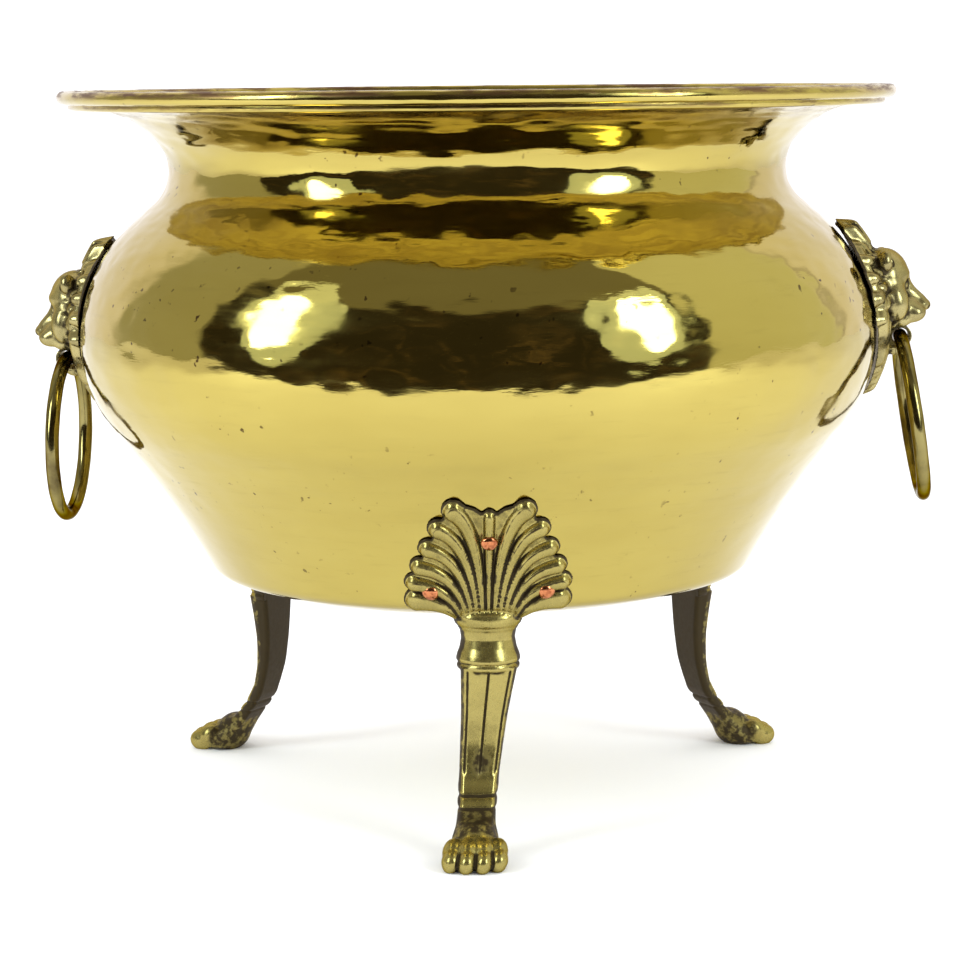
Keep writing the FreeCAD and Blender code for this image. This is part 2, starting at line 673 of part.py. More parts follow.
def make_handles():
    """Both masks with their fixings and rings; gives the sub-parts and the holes in the bowl."""
    parts, holes = [], []
    for side, azimuth in (("left", 180.0), ("right", 0.0)):
        place = mask_placement(side, azimuth)
        parts.append(make_mask(f"lion_mask_{side}", place))
        parts.append(make_washer(f"mask_{side}_washer", place))
        parts.append(make_nut(f"mask_{side}_nut", place))
        parts.append(make_ring(f"ring_{side}", place))
        start = place * FreeCAD.Placement(X_AXIS * DRILL_START, FreeCAD.Rotation(Y_AXIS, 90.0))
        holes.append(cylinder(f"mask_{side}_hole", "dims.stud_radius + 4 * dims.fit_gap", DRILL_LENGTH,
                              start))
        pivot = place.multVec(FreeCAD.Vector(dim("jaw_out"), 0, -dim("jaw_down")))
        print(f"ring_{side} pivot: {pivot.x:.3f}, {pivot.y:.3f}, {pivot.z:.3f}")
    return parts, holes


# ---------------------------------------------------------------- assembly and export

def make_all():
    leg_parts, rivet_holes = make_legs()
    handle_parts, stud_holes = make_handles()
    bowl = cut_away("bowl", make_bowl_skin(), rivet_holes + stud_holes)
    return [bowl, make_rim_wire()] + leg_parts + handle_parts


def check(parts):
    failed = [item.Name for item in doc.Objects if {"Invalid", "Error"} & set(item.State)]
    if failed:
        raise RuntimeError(f"failed features: {failed}")
    for item in parts:
        if item.Shape.isNull() or not item.Shape.isValid() or len(item.Shape.Solids) != 1:
            raise RuntimeError(f"bad shape: {item.Label}")


def export(parts):
    os.makedirs("parts", exist_ok=True)
    for item in parts:
        item.Shape.exportStep(f"parts/{item.Label}.step")
        box = item.Shape.BoundBox
        print(f"{item.Label}: X {box.XMin:.1f} {box.XMax:.1f}  Y {box.YMin:.1f} {box.YMax:.1f}  "
              f"Z {box.ZMin:.1f} {box.ZMax:.1f}  {item.Shape.Volume / 1000:.2f} cm3")


sub_parts = make_all()
doc.recompute()
check(sub_parts)
export(sub_parts)
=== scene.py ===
import math

import bpy
import numpy as np
from mathutils import Matrix, Vector


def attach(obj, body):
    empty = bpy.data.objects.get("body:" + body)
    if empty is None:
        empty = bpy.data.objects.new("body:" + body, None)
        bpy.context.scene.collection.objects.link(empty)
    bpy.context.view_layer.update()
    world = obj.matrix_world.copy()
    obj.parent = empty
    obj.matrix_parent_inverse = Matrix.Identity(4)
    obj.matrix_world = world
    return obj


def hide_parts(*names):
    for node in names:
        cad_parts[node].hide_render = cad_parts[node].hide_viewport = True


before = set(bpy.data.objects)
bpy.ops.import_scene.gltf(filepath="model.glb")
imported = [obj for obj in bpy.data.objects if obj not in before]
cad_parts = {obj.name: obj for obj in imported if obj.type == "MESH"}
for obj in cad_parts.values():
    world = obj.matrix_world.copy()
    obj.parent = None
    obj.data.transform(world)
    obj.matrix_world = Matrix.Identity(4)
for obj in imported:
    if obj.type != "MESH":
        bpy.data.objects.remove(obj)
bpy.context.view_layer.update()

# The modelling below is in millimetres; every mesh is scaled to metres as it is made.
MM = 0.001
rng = np.random.default_rng(11)

# The pot's front, which the camera faces, is turned 4.2 degrees round from -Y.
FRONT_TURN = math.radians(4.2)


def unit(value):
    """Holds values between 0 and 1."""
    return np.clip(value, 0, 1)


def bell(value, width):
    """A Gauss bell of height 1."""
    return np.exp(-0.5 * (value / width) ** 2)


# ---------------------------------------------------------------- meshes

def make_piece(name, vertices, faces, body, material, replaces, attributes=None, matrix=None):
    """A smooth mesh object from millimetre points, riding on a body and standing for a CAD node."""
    mesh = bpy.data.meshes.new(name)
    mesh.from_pydata((vertices * MM).tolist(), [], faces)
    mesh.update()
    mesh.shade_smooth()
    for label, values in (attributes or {}).items():
        layer = mesh.attributes.new(label, "FLOAT", "POINT")
        layer.data.foreach_set("value", values.astype(np.float32))
    return place_piece(name, mesh, body, material, replaces, matrix)


def put(name, data):
    """A new object in the scene."""
    item = bpy.data.objects.new(name, data)
    bpy.context.scene.collection.objects.link(item)
    return item


def place_piece(name, mesh, body, material, replaces, matrix):
    piece = put(name, mesh)
    if matrix is not None:
        piece.matrix_world = matrix
    if not mesh.materials:
        mesh.materials.append(material)
    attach(piece, body)
    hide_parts(replaces)
    return piece


def grid_faces(rows, columns, closed=False):
    """Quads of a grid of points whose columns close into a ring, and its rows too if it is closed."""
    row, column = np.meshgrid(np.arange(rows if closed else rows - 1), np.arange(columns), indexing="ij")
    after, above = (column + 1) % columns, (row + 1) % rows
    quads = np.stack([row * columns + column, row * columns + after,
                      above * columns + after, above * columns + column], axis=-1)
    return quads.reshape(-1, 4).tolist()


def capped_faces(rows, columns):
    """The same grid, closed at each end by a fan round one more point; the two points come last."""
    faces = grid_faces(rows, columns)
    last, low, high = (rows - 1) * columns, rows * columns, rows * columns + 1
    for column in range(columns):
        after = (column + 1) % columns
        faces.append([low, after, column])
        faces.append([high, last + column, last + after])
    return faces


def turned(outline, columns, wobble):
    """Points and faces of a nearly round solid about Z, from (radius, height) points between its poles."""
    angles = np.linspace(0, 2 * math.pi, columns, endpoint=False)
    middle = outline[1:-1]
    radius, height = middle[:, :1], middle[:, 1:]
    swell = 1 + wobble * (np.sin(3 * angles + 1) + 0.6 * np.sin(5 * angles + 2.3))
    ring = np.stack([radius * swell * np.cos(angles), radius * swell * np.sin(angles),
                     height + 0 * angles], axis=-1).reshape(-1, 3)
    ends = np.array([[0, 0, outline[0][1]], [0, 0, outline[-1][1]]])
    return np.concatenate([ring, ends]), capped_faces(len(middle), columns)


# ---------------------------------------------------------------- the bowl's line

BASE_HEIGHT = 97.3
SHEET = 1.1
RIM_RADIUS = 187.0
RIM_HEIGHT = 321.4
CURL_RADIUS = 1.9
UPTURN_RADIUS = 1.9

# Name, length or radius, turn in degrees (to the left), sampling step.
WALL_PIECES = [
    ("base", 81.7, 0.0, 4.0),
    ("dish", 112.7, 19.9, 2.5),
    ("corner", 10.3, 41.1, 0.8),
    ("cone", 419.0, -10.3, 1.5),
    ("belly_low", 65.7, 64.6, 1.1),
    ("belly_high", 72.3, 23.7, 1.0),
    ("shoulder", 14.0, 0.0, 0.9),
    ("neck", 19.3, -87.7, 0.8),
    ("flare", 41.5, -51.3, 0.8),
    ("flange", None, 0.0, 0.9),
    ("upturn", UPTURN_RADIUS, 90.0, 0.35),
    ("rise", None, 0.0, 0.6),
    ("curl", CURL_RADIUS, -280.0, 0.33),
]


def wall_line():
    """Samples of the bowl's outside: arc length, radius, height, heading; and where each piece starts."""
    radius, height, heading, length = 0.0, BASE_HEIGHT, 0.0, 0.0
    samples, starts = [], {}
    for name, size, degrees, step in WALL_PIECES:
        starts[name] = length
        if name == "flange":
            size = RIM_RADIUS - CURL_RADIUS - UPTURN_RADIUS - radius
        if name == "rise":
            size = RIM_HEIGHT - height
        turn = math.radians(degrees)
        run = size * abs(turn) if turn else size
        count = max(1, math.ceil(run / step))
        for share in np.arange(count + 1) / count:
            if turn:
                side = math.copysign(size, turn)
                now = heading + turn * share
                point = (radius + side * (math.sin(now) - math.sin(heading)),
                         height - side * (math.cos(now) - math.cos(heading)))
            else:
                now = heading
                point = (radius + size * share * math.cos(heading),
                         height + size * share * math.sin(heading))
            if share < 1 or name == "curl":
                samples.append((length + run * share, *point, now))
        radius, height, heading = point[0], point[1], now
        length += run
    return np.array(samples), starts


LINE, STARTS = wall_line()


def at_height(height):
    """Radius and heading of the bowl's outside at a height below its widest point."""
    low = LINE[(LINE[:, 0] >= STARTS["dish"]) & (LINE[:, 0] <= STARTS["shoulder"])]
    return np.interp(height, low[:, 2], low[:, 1]), np.interp(height, low[:, 2], low[:, 3])


# ---------------------------------------------------------------- materials

# Turns an angle round the pot into metres round it, near enough for streaks.
MEAN_RADIUS = 0.17


class Nodes:
    """A node tree and short ways of adding to it; a value is a number, a colour or a socket."""

    def __init__(self, tree, coordinates):
        self.nodes, self.links = tree.nodes, tree.links
        self.place = self.add("TexCoord").outputs[coordinates]

    def plug(self, value, socket):
        if isinstance(value, bpy.types.NodeSocket):
            self.links.new(value, socket)
        else:
            socket.default_value = (*value, 1.0) if socket.type == "RGBA" else value

    def set(self, node, **inputs):
        for name, value in inputs.items():
            self.plug(value, node.inputs[name.replace("_", " ")])

    def add(self, kind, **inputs):
        node = self.nodes.new("ShaderNode" + kind)
        self.set(node, **inputs)
        return node

    def noise(self, scale, detail=3.0, roughness=0.55, vector=None, distortion=0.0):
        return self.add("TexNoise", Scale=scale, Detail=detail, Roughness=roughness,
                        Distortion=distortion, Vector=vector or self.place).outputs["Fac"]

    def around(self, along, up):
        """Coordinates that run round the pot and up its sheet, in metres, each stretched by a factor."""
        split = self.add("SeparateXYZ", Vector=self.place).outputs
        angle = self.math("ARCTAN2", split["Y"], split["X"])
        return self.add("CombineXYZ", X=self.math("MULTIPLY", angle, MEAN_RADIUS * along),
                        Y=self.math("MULTIPLY", self.attribute("sheet_length"), up)).outputs[0]

    def math(self, operation, *values):
        node = self.add("Math")
        node.operation = operation
        for value, socket in zip(values, node.inputs):
            self.plug(value, socket)
        return node.outputs[0]

    def attribute(self, name):
        node = self.add("Attribute")
        node.attribute_name = name
        return node.outputs["Fac"]

    def band(self, value, low, high, bottom=0.0, top=1.0):
        """Maps low..high smoothly to bottom..top."""
        node = self.add("MapRange", Value=value, From_Min=low, From_Max=high, To_Min=bottom, To_Max=top)
        node.interpolation_type = "SMOOTHSTEP"
        return node.outputs["Result"]

    def mix(self, share, first, second):
        """Colour between two colours."""
        node = self.add("Mix")
        node.data_type = "RGBA"
        for value, socket in ((share, 0), (first, 6), (second, 7)):
            self.plug(value, node.inputs[socket])
        return node.outputs[2]

    def bump(self, height, distance, strength, **below):
        return self.add("Bump", Strength=strength, Distance=distance, Height=height, **below).outputs[0]


class Look(Nodes):
    """One procedural surface: a Principled shader and the nodes that drive it."""

    def __init__(self, name, colour, roughness, metallic=1.0, edge=(1.0, 1.0, 1.0)):
        self.material = bpy.data.materials.new(name)
        self.material.use_nodes = True
        super().__init__(self.material.node_tree, "Object")
        self.drive(Base_Color=colour, Roughness=roughness, Metallic=metallic, Specular_Tint=edge)

    def drive(self, **inputs):
        self.set(self.nodes["Principled BSDF"], **inputs)


def polished_brass():
    """Sheet brass: streaked, pitted here and there, with fine hammer marks, and at the rim dirt mixed with
    painted shade and a painted dark reflection.
    """
    look = Look("polished_brass", (0.55, 0.44, 0.13), 0.08)
    mottle = look.noise(7.0, 4.0, 0.6, look.around(0.6, 1.6))
    streaks = look.noise(60.0, 5.0, 0.7, look.around(0.5, 4.0))
    colour = look.mix(look.band(mottle, 0.35, 0.7), (0.495, 0.388, 0.102), (0.436, 0.334, 0.082))
    colour = look.mix(look.band(streaks, 0.52, 0.78, 0.0, 0.5), colour, (0.4, 0.31, 0.08))
    pits = look.noise(260.0, 2.0, 0.5)
    clouds = look.noise(22.0, 3.0, 0.6)
    specks = look.math("MULTIPLY", look.band(pits, 0.68, 0.73), look.band(clouds, 0.46, 0.6))
    colour = look.mix(specks, colour, (0.10, 0.06, 0.02))
    # The attribute carries painted shade in the crease and under the flange, a painted dark reflection on the
    # bead's top, and dirt; streaked round the pot, it darkens the colour.
    patina_and_shade = look.attribute("patina_and_shade")
    streaky = look.noise(70.0, 4.0, 0.7, look.around(0.45, 3.0))
    grime_and_shade = look.math("MULTIPLY", patina_and_shade, look.band(streaky, 0.4, 0.6))
    colour = look.mix(grime_and_shade, colour, (0.15, 0.075, 0.04))
    rough = look.band(look.noise(35.0, 4.0, 0.65, look.around(0.5, 2.4)), 0.34, 0.72, 0.04, 0.14)
    rough = look.math("ADD", rough, look.math("MULTIPLY", grime_and_shade, 0.35))
    planished = look.noise(240.0, 4.0, 0.65, look.around(0.18, 1.0))
    fine = look.bump(planished, 0.0001, 0.42)
    ripple = look.noise(120.0, 3.0, 0.55, look.around(0.4, 1.4))
    look.drive(Base_Color=colour, Roughness=rough, Normal=look.bump(ripple, 0.00014, 0.4, Normal=fine))
    return look.material


def cast_brass(name, clean, dull):
    """Cast brass, rubbed bright where it stands out, dark with age in its hollows, and darkened by painted
    shade on the legs' backs, flanks and heels and behind the masks.
    """
    look = Look(name, clean, 0.36, edge=(0.5, 0.42, 0.25))
    mottle = look.noise(60.0, 4.0, 0.6)
    colour = look.mix(look.band(mottle, 0.35, 0.68), clean, dull)
    grain = look.noise(500.0, 3.0, 0.6)
    uneven = look.band(look.noise(260.0, 3.0, 0.6), 0.35, 0.65, 0.78, 1.22)
    # The attribute carries patina in the hollows and painted shade on the legs' backs, flanks and heels and
    # on the masks' backs.
    ragged = look.math("MULTIPLY", look.attribute("patina_and_shade"), uneven)
    patina_and_shade_level = look.math("ADD", ragged, look.math("MULTIPLY", grain, 0.1))
    dark = look.band(patina_and_shade_level, 0.25, 0.5)
    stain = look.band(look.noise(110.0, 3.0, 0.6), 0.64, 0.76, 0.0, 0.3)
    dark = look.math("MAXIMUM", dark, stain)
    colour = look.mix(dark, colour, (0.032, 0.022, 0.01))
    rough = look.math("ADD", look.band(grain, 0.3, 0.7, 0.2, 0.3), look.math("MULTIPLY", dark, 0.2))
    bumps = look.bump(look.noise(160.0, 3.0, 0.55), 0.00014, 0.3)
    look.drive(Base_Color=colour, Roughness=rough, Normal=look.bump(grain, 0.00002, 0.2, Normal=bumps),
               Metallic=look.math("SUBTRACT", 0.9, look.math("MULTIPLY", dark, 0.5)))
    return look.material


def ring_brass():
    """Duller drawn wire, browned in patches."""
    look = Look("ring_brass", (0.3, 0.23, 0.08), 0.2, edge=(0.3, 0.24, 0.12))
    mottle = look.noise(60.0, 4.0, 0.6)
    colour = look.mix(look.band(mottle, 0.4, 0.7), (0.27, 0.22, 0.08), (0.12, 0.09, 0.038))
    rough = look.band(look.noise(150.0, 4.0, 0.6), 0.3, 0.7, 0.1, 0.2)
    look.drive(Base_Color=colour, Roughness=rough,
               Normal=look.bump(look.noise(380.0, 3.0, 0.6), 0.00006, 0.4))
    return look.material


def copper():
    """Hammered rivet copper."""
    look = Look("copper", (0.68, 0.24, 0.1), 0.2)
    mottle = look.noise(400.0, 3.0, 0.6)
    colour = look.mix(look.band(mottle, 0.42, 0.7), (0.6, 0.215, 0.09), (0.3, 0.085, 0.035))
    rough = look.band(mottle, 0.3, 0.7, 0.14, 0.26)
    look.drive(Base_Color=colour, Roughness=rough, Normal=look.bump(mottle, 0.00012, 0.35))
    return look.material


def plain_metal(name, clean, rust, amount):
    """Iron or steel with rust where the noise passes an amount."""
    look = Look(name, clean, 0.4)
    spots = look.noise(240.0, 5.0, 0.65)
    share = look.band(spots, amount, amount + 0.15)
    colour = look.mix(share, clean, rust)
    look.drive(Base_Color=colour, Roughness=look.math("ADD", look.math("MULTIPLY", share, 0.35), 0.32),
               Metallic=look.math("SUBTRACT", 1.0, look.math("MULTIPLY", share, 0.7)),
               Normal=look.bump(spots, 0.0001, 0.5))
    return look.material


BRASS = polished_brass()
LEG_BRASS = cast_brass("leg_brass", (0.38, 0.306, 0.096), (0.31, 0.248, 0.078))
MASK_BRASS = cast_brass("mask_brass", (0.4, 0.33, 0.14), (0.27, 0.22, 0.095))
RING_BRASS = ring_brass()
COPPER = copper()
IRON = plain_metal("iron_wire", (0.3, 0.28, 0.26), (0.16, 0.07, 0.03), 0.42)
STEEL = plain_metal("zinc_steel", (0.58, 0.57, 0.55), (0.25, 0.14, 0.07), 0.62)
PAPER = Look("pale_paper", (0.95, 0.95, 0.95), 0.8, 0.0).material


# ---------------------------------------------------------------- hammered bowl

COLUMNS = 800


def table(**values):
    """Arc lengths and values for np.interp, from values given at the starts of the wall's pieces."""
    return [STARTS[name] for name in values], list(values.values())


# How much wider round the pot a dent is on each part of the wall.
WIDENING = table(cone=1.0, neck=1.1, flare=1.6, flange=2.2, upturn=2.2)


def blows(field, spacing_up, spacing_round, sigma_up, sigma_round, depth, strength):
    """Adds overlapping hammer dents, in rows, to a field over arc length and angle."""
    lengths, radii = LINE[:, 0], LINE[:, 1]
    step = 2 * math.pi / COLUMNS
    first, last = STARTS["cone"], STARTS["upturn"] - 1.0
    for row in np.arange(first, last, spacing_up):
        radius = np.interp(row, lengths, radii)
        count = int(2 * math.pi * radius / spacing_round)
        for index in range(count):
            s = row + rng.normal(0, 0.28 * spacing_up)
            angle = (index + rng.normal(0, 0.25)) * 2 * math.pi / count
            power = np.interp(s, *strength) * rng.uniform(0.35, 1.25) * depth
            up = sigma_up * rng.uniform(0.8, 1.25)
            width = sigma_round * rng.uniform(0.8, 1.3) * np.interp(s, *WIDENING)
            rows = np.nonzero(np.abs(lengths - s) < 3 * up)[0]
            reach = int(3 * width / (radius * step)) + 1
            columns = np.arange(-reach, reach + 1) + int(round(angle / step))
            across = bell((columns * step - angle) * radius, width)
            along = bell(lengths[rows] - s, up)
            field[rows[:, None], (columns % COLUMNS)[None, :]] -= power * along[:, None] * across[None, :]


def hammered():
    """Depth of the hammering over the bowl's outside, in millimetres."""
    field = np.zeros((len(LINE), COLUMNS))
    broad = table(dish=0.0, corner=0.1, cone=0.3, belly_low=0.6, belly_high=1.0, shoulder=0.7,
                  neck=0.3, flare=0.3, flange=0.3, upturn=0.0)
    fine = table(dish=0.0, corner=0.0, cone=0.14, belly_low=0.8, belly_high=1.25, shoulder=1.6,
                 neck=1.1, flare=1.9, flange=2.1, upturn=0.0)
    blows(field, 12.0, 14.0, 4.4, 5.6, 0.2, broad)
    blows(field, 7.0, 8.5, 2.5, 3.4, 0.1, fine)
    blows(field, 4.2, 8.0, 1.5, 3.2, 0.055, fine)
    angles = np.linspace(0, 2 * math.pi, COLUMNS, endpoint=False)
    for waves in (2, 3, 5, 7, 11, 13, 17):
        shift = rng.uniform(0, 2 * math.pi)
        size = rng.uniform(0.1, 0.3) / waves ** 0.7
        drift = rng.uniform(-0.02, 0.02)
        level = np.interp(LINE[:, 0], *table(corner=0.0, cone=0.6, flange=1.0, upturn=0.0))
        field += level[:, None] * size * np.cos(waves * angles[None, :] + shift + drift * LINE[:, :1])
    return field


BEAD_ROUGHNESS = 0.11


def make_bowl():
    """The sheet, both sides, with its edge rolled over the wire."""
    depth = hammered()
    angles = np.linspace(0, 2 * math.pi, COLUMNS, endpoint=False)
    heading = LINE[:, 3]
    normal = np.stack([np.sin(heading), -np.cos(heading)], axis=1)
    # The curl shows the sheet's inner side, so that side carries the bead's roughness.
    curl = (LINE[:, 0] > STARTS["curl"])[:, None]
    rough = np.where(curl, rng.normal(0, 1, depth.shape), 0.0)
    for _ in range(5):
        rough = (rough + np.roll(rough, 1, 1) + np.roll(rough, -1, 1)) / 3
    sides = []
    for offset, bead in ((0.0, 0.0), (-SHEET, -BEAD_ROUGHNESS)):
        shift = depth + offset + bead * rough
        radius = LINE[:, 1:2] + normal[:, :1] * shift
        height = LINE[:, 2:3] + normal[:, 1:] * shift
        sides.append(np.stack([radius * np.cos(angles), radius * np.sin(angles), height], axis=-1))
    outer, inner = sides[0][1:], sides[1][1:][::-2]
    poles = np.array([[0, 0, BASE_HEIGHT], [0, 0, BASE_HEIGHT + SHEET]])
    vertices = np.concatenate([outer.reshape(-1, 3), inner.reshape(-1, 3), poles])
    outside = np.arange(len(vertices)) < len(outer) * COLUMNS
    lengths = LINE[1:, 0]
    lengths = np.append(np.repeat(np.append(lengths, lengths[::-2]), COLUMNS), [0, 0])
    make_piece("bowl_hammered", vertices, capped_faces(len(outer) + len(inner), COLUMNS), "pot",
               BRASS, "bowl",
               {"patina_and_shade": bowl_grime_and_shade(vertices, outside), "sheet_length": lengths * MM})


BEAD_REACH = 3.4
CREASE_HEIGHT = 317.6
FLANGE_FOOT, FLANGE_EDGE = 306, 183


def bowl_grime_and_shade(vertices, outside):
    """Painted dark reflection mixed with dirt on top of the rolled edge, a painted shadow in the crease under
    it and painted shade on the flange's underside.
    """
    radius = np.hypot(vertices[:, 0], vertices[:, 1])
    height = vertices[:, 2]
    bead = np.hypot(radius - RIM_RADIUS, height - RIM_HEIGHT) < BEAD_REACH
    # Painted: the bead's dark top is a reflection mixed with dirt, the crease's darkness is a shadow and the
    # flange's underside is shade.
    top = unit((height - RIM_HEIGHT + 0.6) / 1.6)
    crease = unit(1 - np.hypot(radius - RIM_RADIUS + 1.5, height - CREASE_HEIGHT) / 1.8)
    under = 0.4 * unit((height - FLANGE_FOOT) / 8) * (radius < FLANGE_EDGE) * outside
    return np.where(bead, top * 0.95, under) + crease


# ---------------------------------------------------------------- sculpting

# The empty field's distance; a form is worked out only this far beyond its box.
FAR = 4.0


class Sculpt:
    """A distance field on a grid; forms are added and cut, then its surface is meshed."""

    def __init__(self, low, high, step):
        self.low, self.step = np.array(low, float), step
        self.axes = [np.arange(a, b + step, step) for a, b in zip(low, high)]
        self.field = np.full([len(axis) for axis in self.axes], FAR, np.float32)

    def add(self, form, blend=0.0, cut=False):
        """Joins a form on, or cuts it out, with the crease between filled over a blend length."""
        shape, low, high = form
        spans = tuple(slice(*np.searchsorted(axis, (a - FAR, b + FAR)))
                      for axis, a, b in zip(self.axes, low, high))
        x, y, z = (axis[span] for axis, span in zip(self.axes, spans))
        sign = -1 if cut else 1
        distance = shape(x[:, None, None], y[None, :, None], z[None, None, :])
        self.field[spans] = sign * soft_min(sign * self.field[spans], distance, blend)

    def both(self, centre, radii, lean=0.0, *, blend, cut=False):
        """The same blob on the left and on the right."""
        for side in (1, -1):
            self.add(blob((centre[0], side * centre[1], centre[2]), radii, lean), blend, cut)

    def sample(self, places):
        """The field at points, by interpolation."""
        at = (places - self.low) / self.step
        at = np.clip(at, 0, np.array(self.field.shape) - 1.001)
        cell = at.astype(int)
        share = at - cell
        total = np.zeros(len(places))
        for corner in np.ndindex(2, 2, 2):
            weight = np.prod(np.where(corner, share, 1 - share), axis=1)
            total += weight * self.field[tuple((cell + corner).T)]
        return total

    def mesh(self):
        """Surface nets: points, quads and how deep in a hollow each point lies."""
        inside = self.field < 0
        count = sum(inside[tuple(slice(step, step - 1 or None) for step in corner)].astype(np.int8)
                    for corner in np.ndindex(2, 2, 2))
        active = (count > 0) & (count < 8)
        cells = np.argwhere(active)
        number = np.full(active.shape, -1)
        number[active] = np.arange(len(cells))
        total, hits = np.zeros((len(cells), 3)), np.zeros(len(cells))
        for axis in range(3):
            forward = np.eye(3, dtype=int)[axis]
            for corner in np.ndindex(2, 2, 2):
                if corner[axis]:
                    continue
                start = cells + corner
                a, b = self.field[tuple(start.T)], self.field[tuple((start + forward).T)]
                crossed = (a < 0) != (b < 0)
                place = start.astype(float)
                place[:, axis] += np.where(crossed, a / np.where(crossed, a - b, 1), 0)
                total[crossed] += place[crossed]
                hits[crossed] += 1
        vertices = total / hits[:, None] * self.step + self.low
        quads = []
        for axis in range(3):
            length = self.field.shape[axis]
            near = np.take(inside, range(length - 1), axis)
            far = np.take(inside, range(1, length), axis)
            edges = np.argwhere(near != far)
            others = [(axis + 1) % 3, (axis + 2) % 3]
            edges = edges[(edges[:, others[0]] > 0) & (edges[:, others[1]] > 0)]
            corners = []
            for back in ((0, 0), (1, 0), (1, 1), (0, 1)):
                cell = edges.copy()
                cell[:, others[0]] -= back[0]
                cell[:, others[1]] -= back[1]
                corners.append(number[tuple(cell.T)])
            quad = np.stack(corners, axis=1)
            outward = near[tuple(edges.T)]
            quad[~outward] = quad[~outward][:, ::-1]
            quads.append(quad)
        return vertices, np.concatenate(quads), self.hollow(vertices)

    def hollow(self, vertices):
        """How deep in a hollow each point lies, 0 to 1, from the room in front of it."""
        h = self.step
        slope = np.stack([self.sample(vertices + shift) - self.sample(vertices - shift)
                          for shift in np.eye(3) * h], axis=1)
        normal = slope / np.maximum(np.linalg.norm(slope, axis=1, keepdims=True), 1e-6)
        depth = sum(1 - self.sample(vertices + normal * reach) / reach for reach in (1.0, 2.2)) / 2
        return unit(depth)


def soft_min(a, b, blend):
    """The lesser of two distances, with the crease between them filled over a blend length."""
    if blend <= 0:
        return np.minimum(a, b)
    overlap = np.maximum(blend - np.abs(a - b), 0)
    return np.minimum(a, b) - overlap * overlap / (4 * blend)


def blob(centre, radii, lean=0.0):
    """An ellipsoid, leaned about the Y axis by some degrees."""
    c, s = math.cos(math.radians(lean)), math.sin(math.radians(lean))

    def shape(x, y, z):
        dx, dy, dz = x - centre[0], y - centre[1], z - centre[2]
        dx, dz = c * dx - s * dz, s * dx + c * dz
        near = np.sqrt((dx / radii[0]) ** 2 + (dy / radii[1]) ** 2 + (dz / radii[2]) ** 2)
        steep = np.sqrt((dx / radii[0] ** 2) ** 2 + (dy / radii[1] ** 2) ** 2
                        + (dz / radii[2] ** 2) ** 2)
        return near * (near - 1) / np.maximum(steep, 1e-6)

    size = max(radii)
    return shape, [v - size for v in centre], [v + size for v in centre]


def rod(start, end, first, last):
    """A round bar between two points, tapering from one radius to the other."""
    axis = np.subtract(end, start)

    def shape(x, y, z):
        dx, dy, dz = x - start[0], y - start[1], z - start[2]
        share = unit((dx * axis[0] + dy * axis[1] + dz * axis[2]) / (axis @ axis))
        gap = np.sqrt((dx - share * axis[0]) ** 2 + (dy - share * axis[1]) ** 2
                      + (dz - share * axis[2]) ** 2)
        return gap - first - (last - first) * share

    size = max(first, last)
    low = np.minimum(start, end) - size
    return shape, low, np.maximum(start, end) + size


def pin(radius, back, front):
    """A round bar along X."""
    def shape(x, y, z):
        return np.maximum(np.hypot(y, z) - radius, np.maximum(back - x, x - front))

    return shape, (back, -radius, -radius), (front, radius, radius)


def curve(root, control, tip, count=18):
    """Points of a quadratic Bezier."""
    t = np.linspace(0, 1, count)[:, None]
    return (1 - t) ** 2 * np.array(root) + 2 * t * (1 - t) * np.array(control) + t ** 2 * np.array(tip)


def to_segment(y, z, start, end):
    """How far along a segment each point's nearest place is, 0 to 1, and the distance to it."""
    (ay, az), (by, bz) = start, end
    dy, dz = by - ay, bz - az
    share = unit(((y - ay) * dy + (z - az) * dz) / (dy * dy + dz * dz))
    return share, np.hypot(y - ay - share * dy, z - az - share * dz)


def bilinear(grid, first, second):
    """Values of a grid at fractional places along its two axes."""
    i, j = first.astype(int), second.astype(int)
    s, t = first - i, second - j
    return ((1 - s) * ((1 - t) * grid[i, j] + t * grid[i, j + 1])
            + s * ((1 - t) * grid[i + 1, j] + t * grid[i + 1, j + 1]))


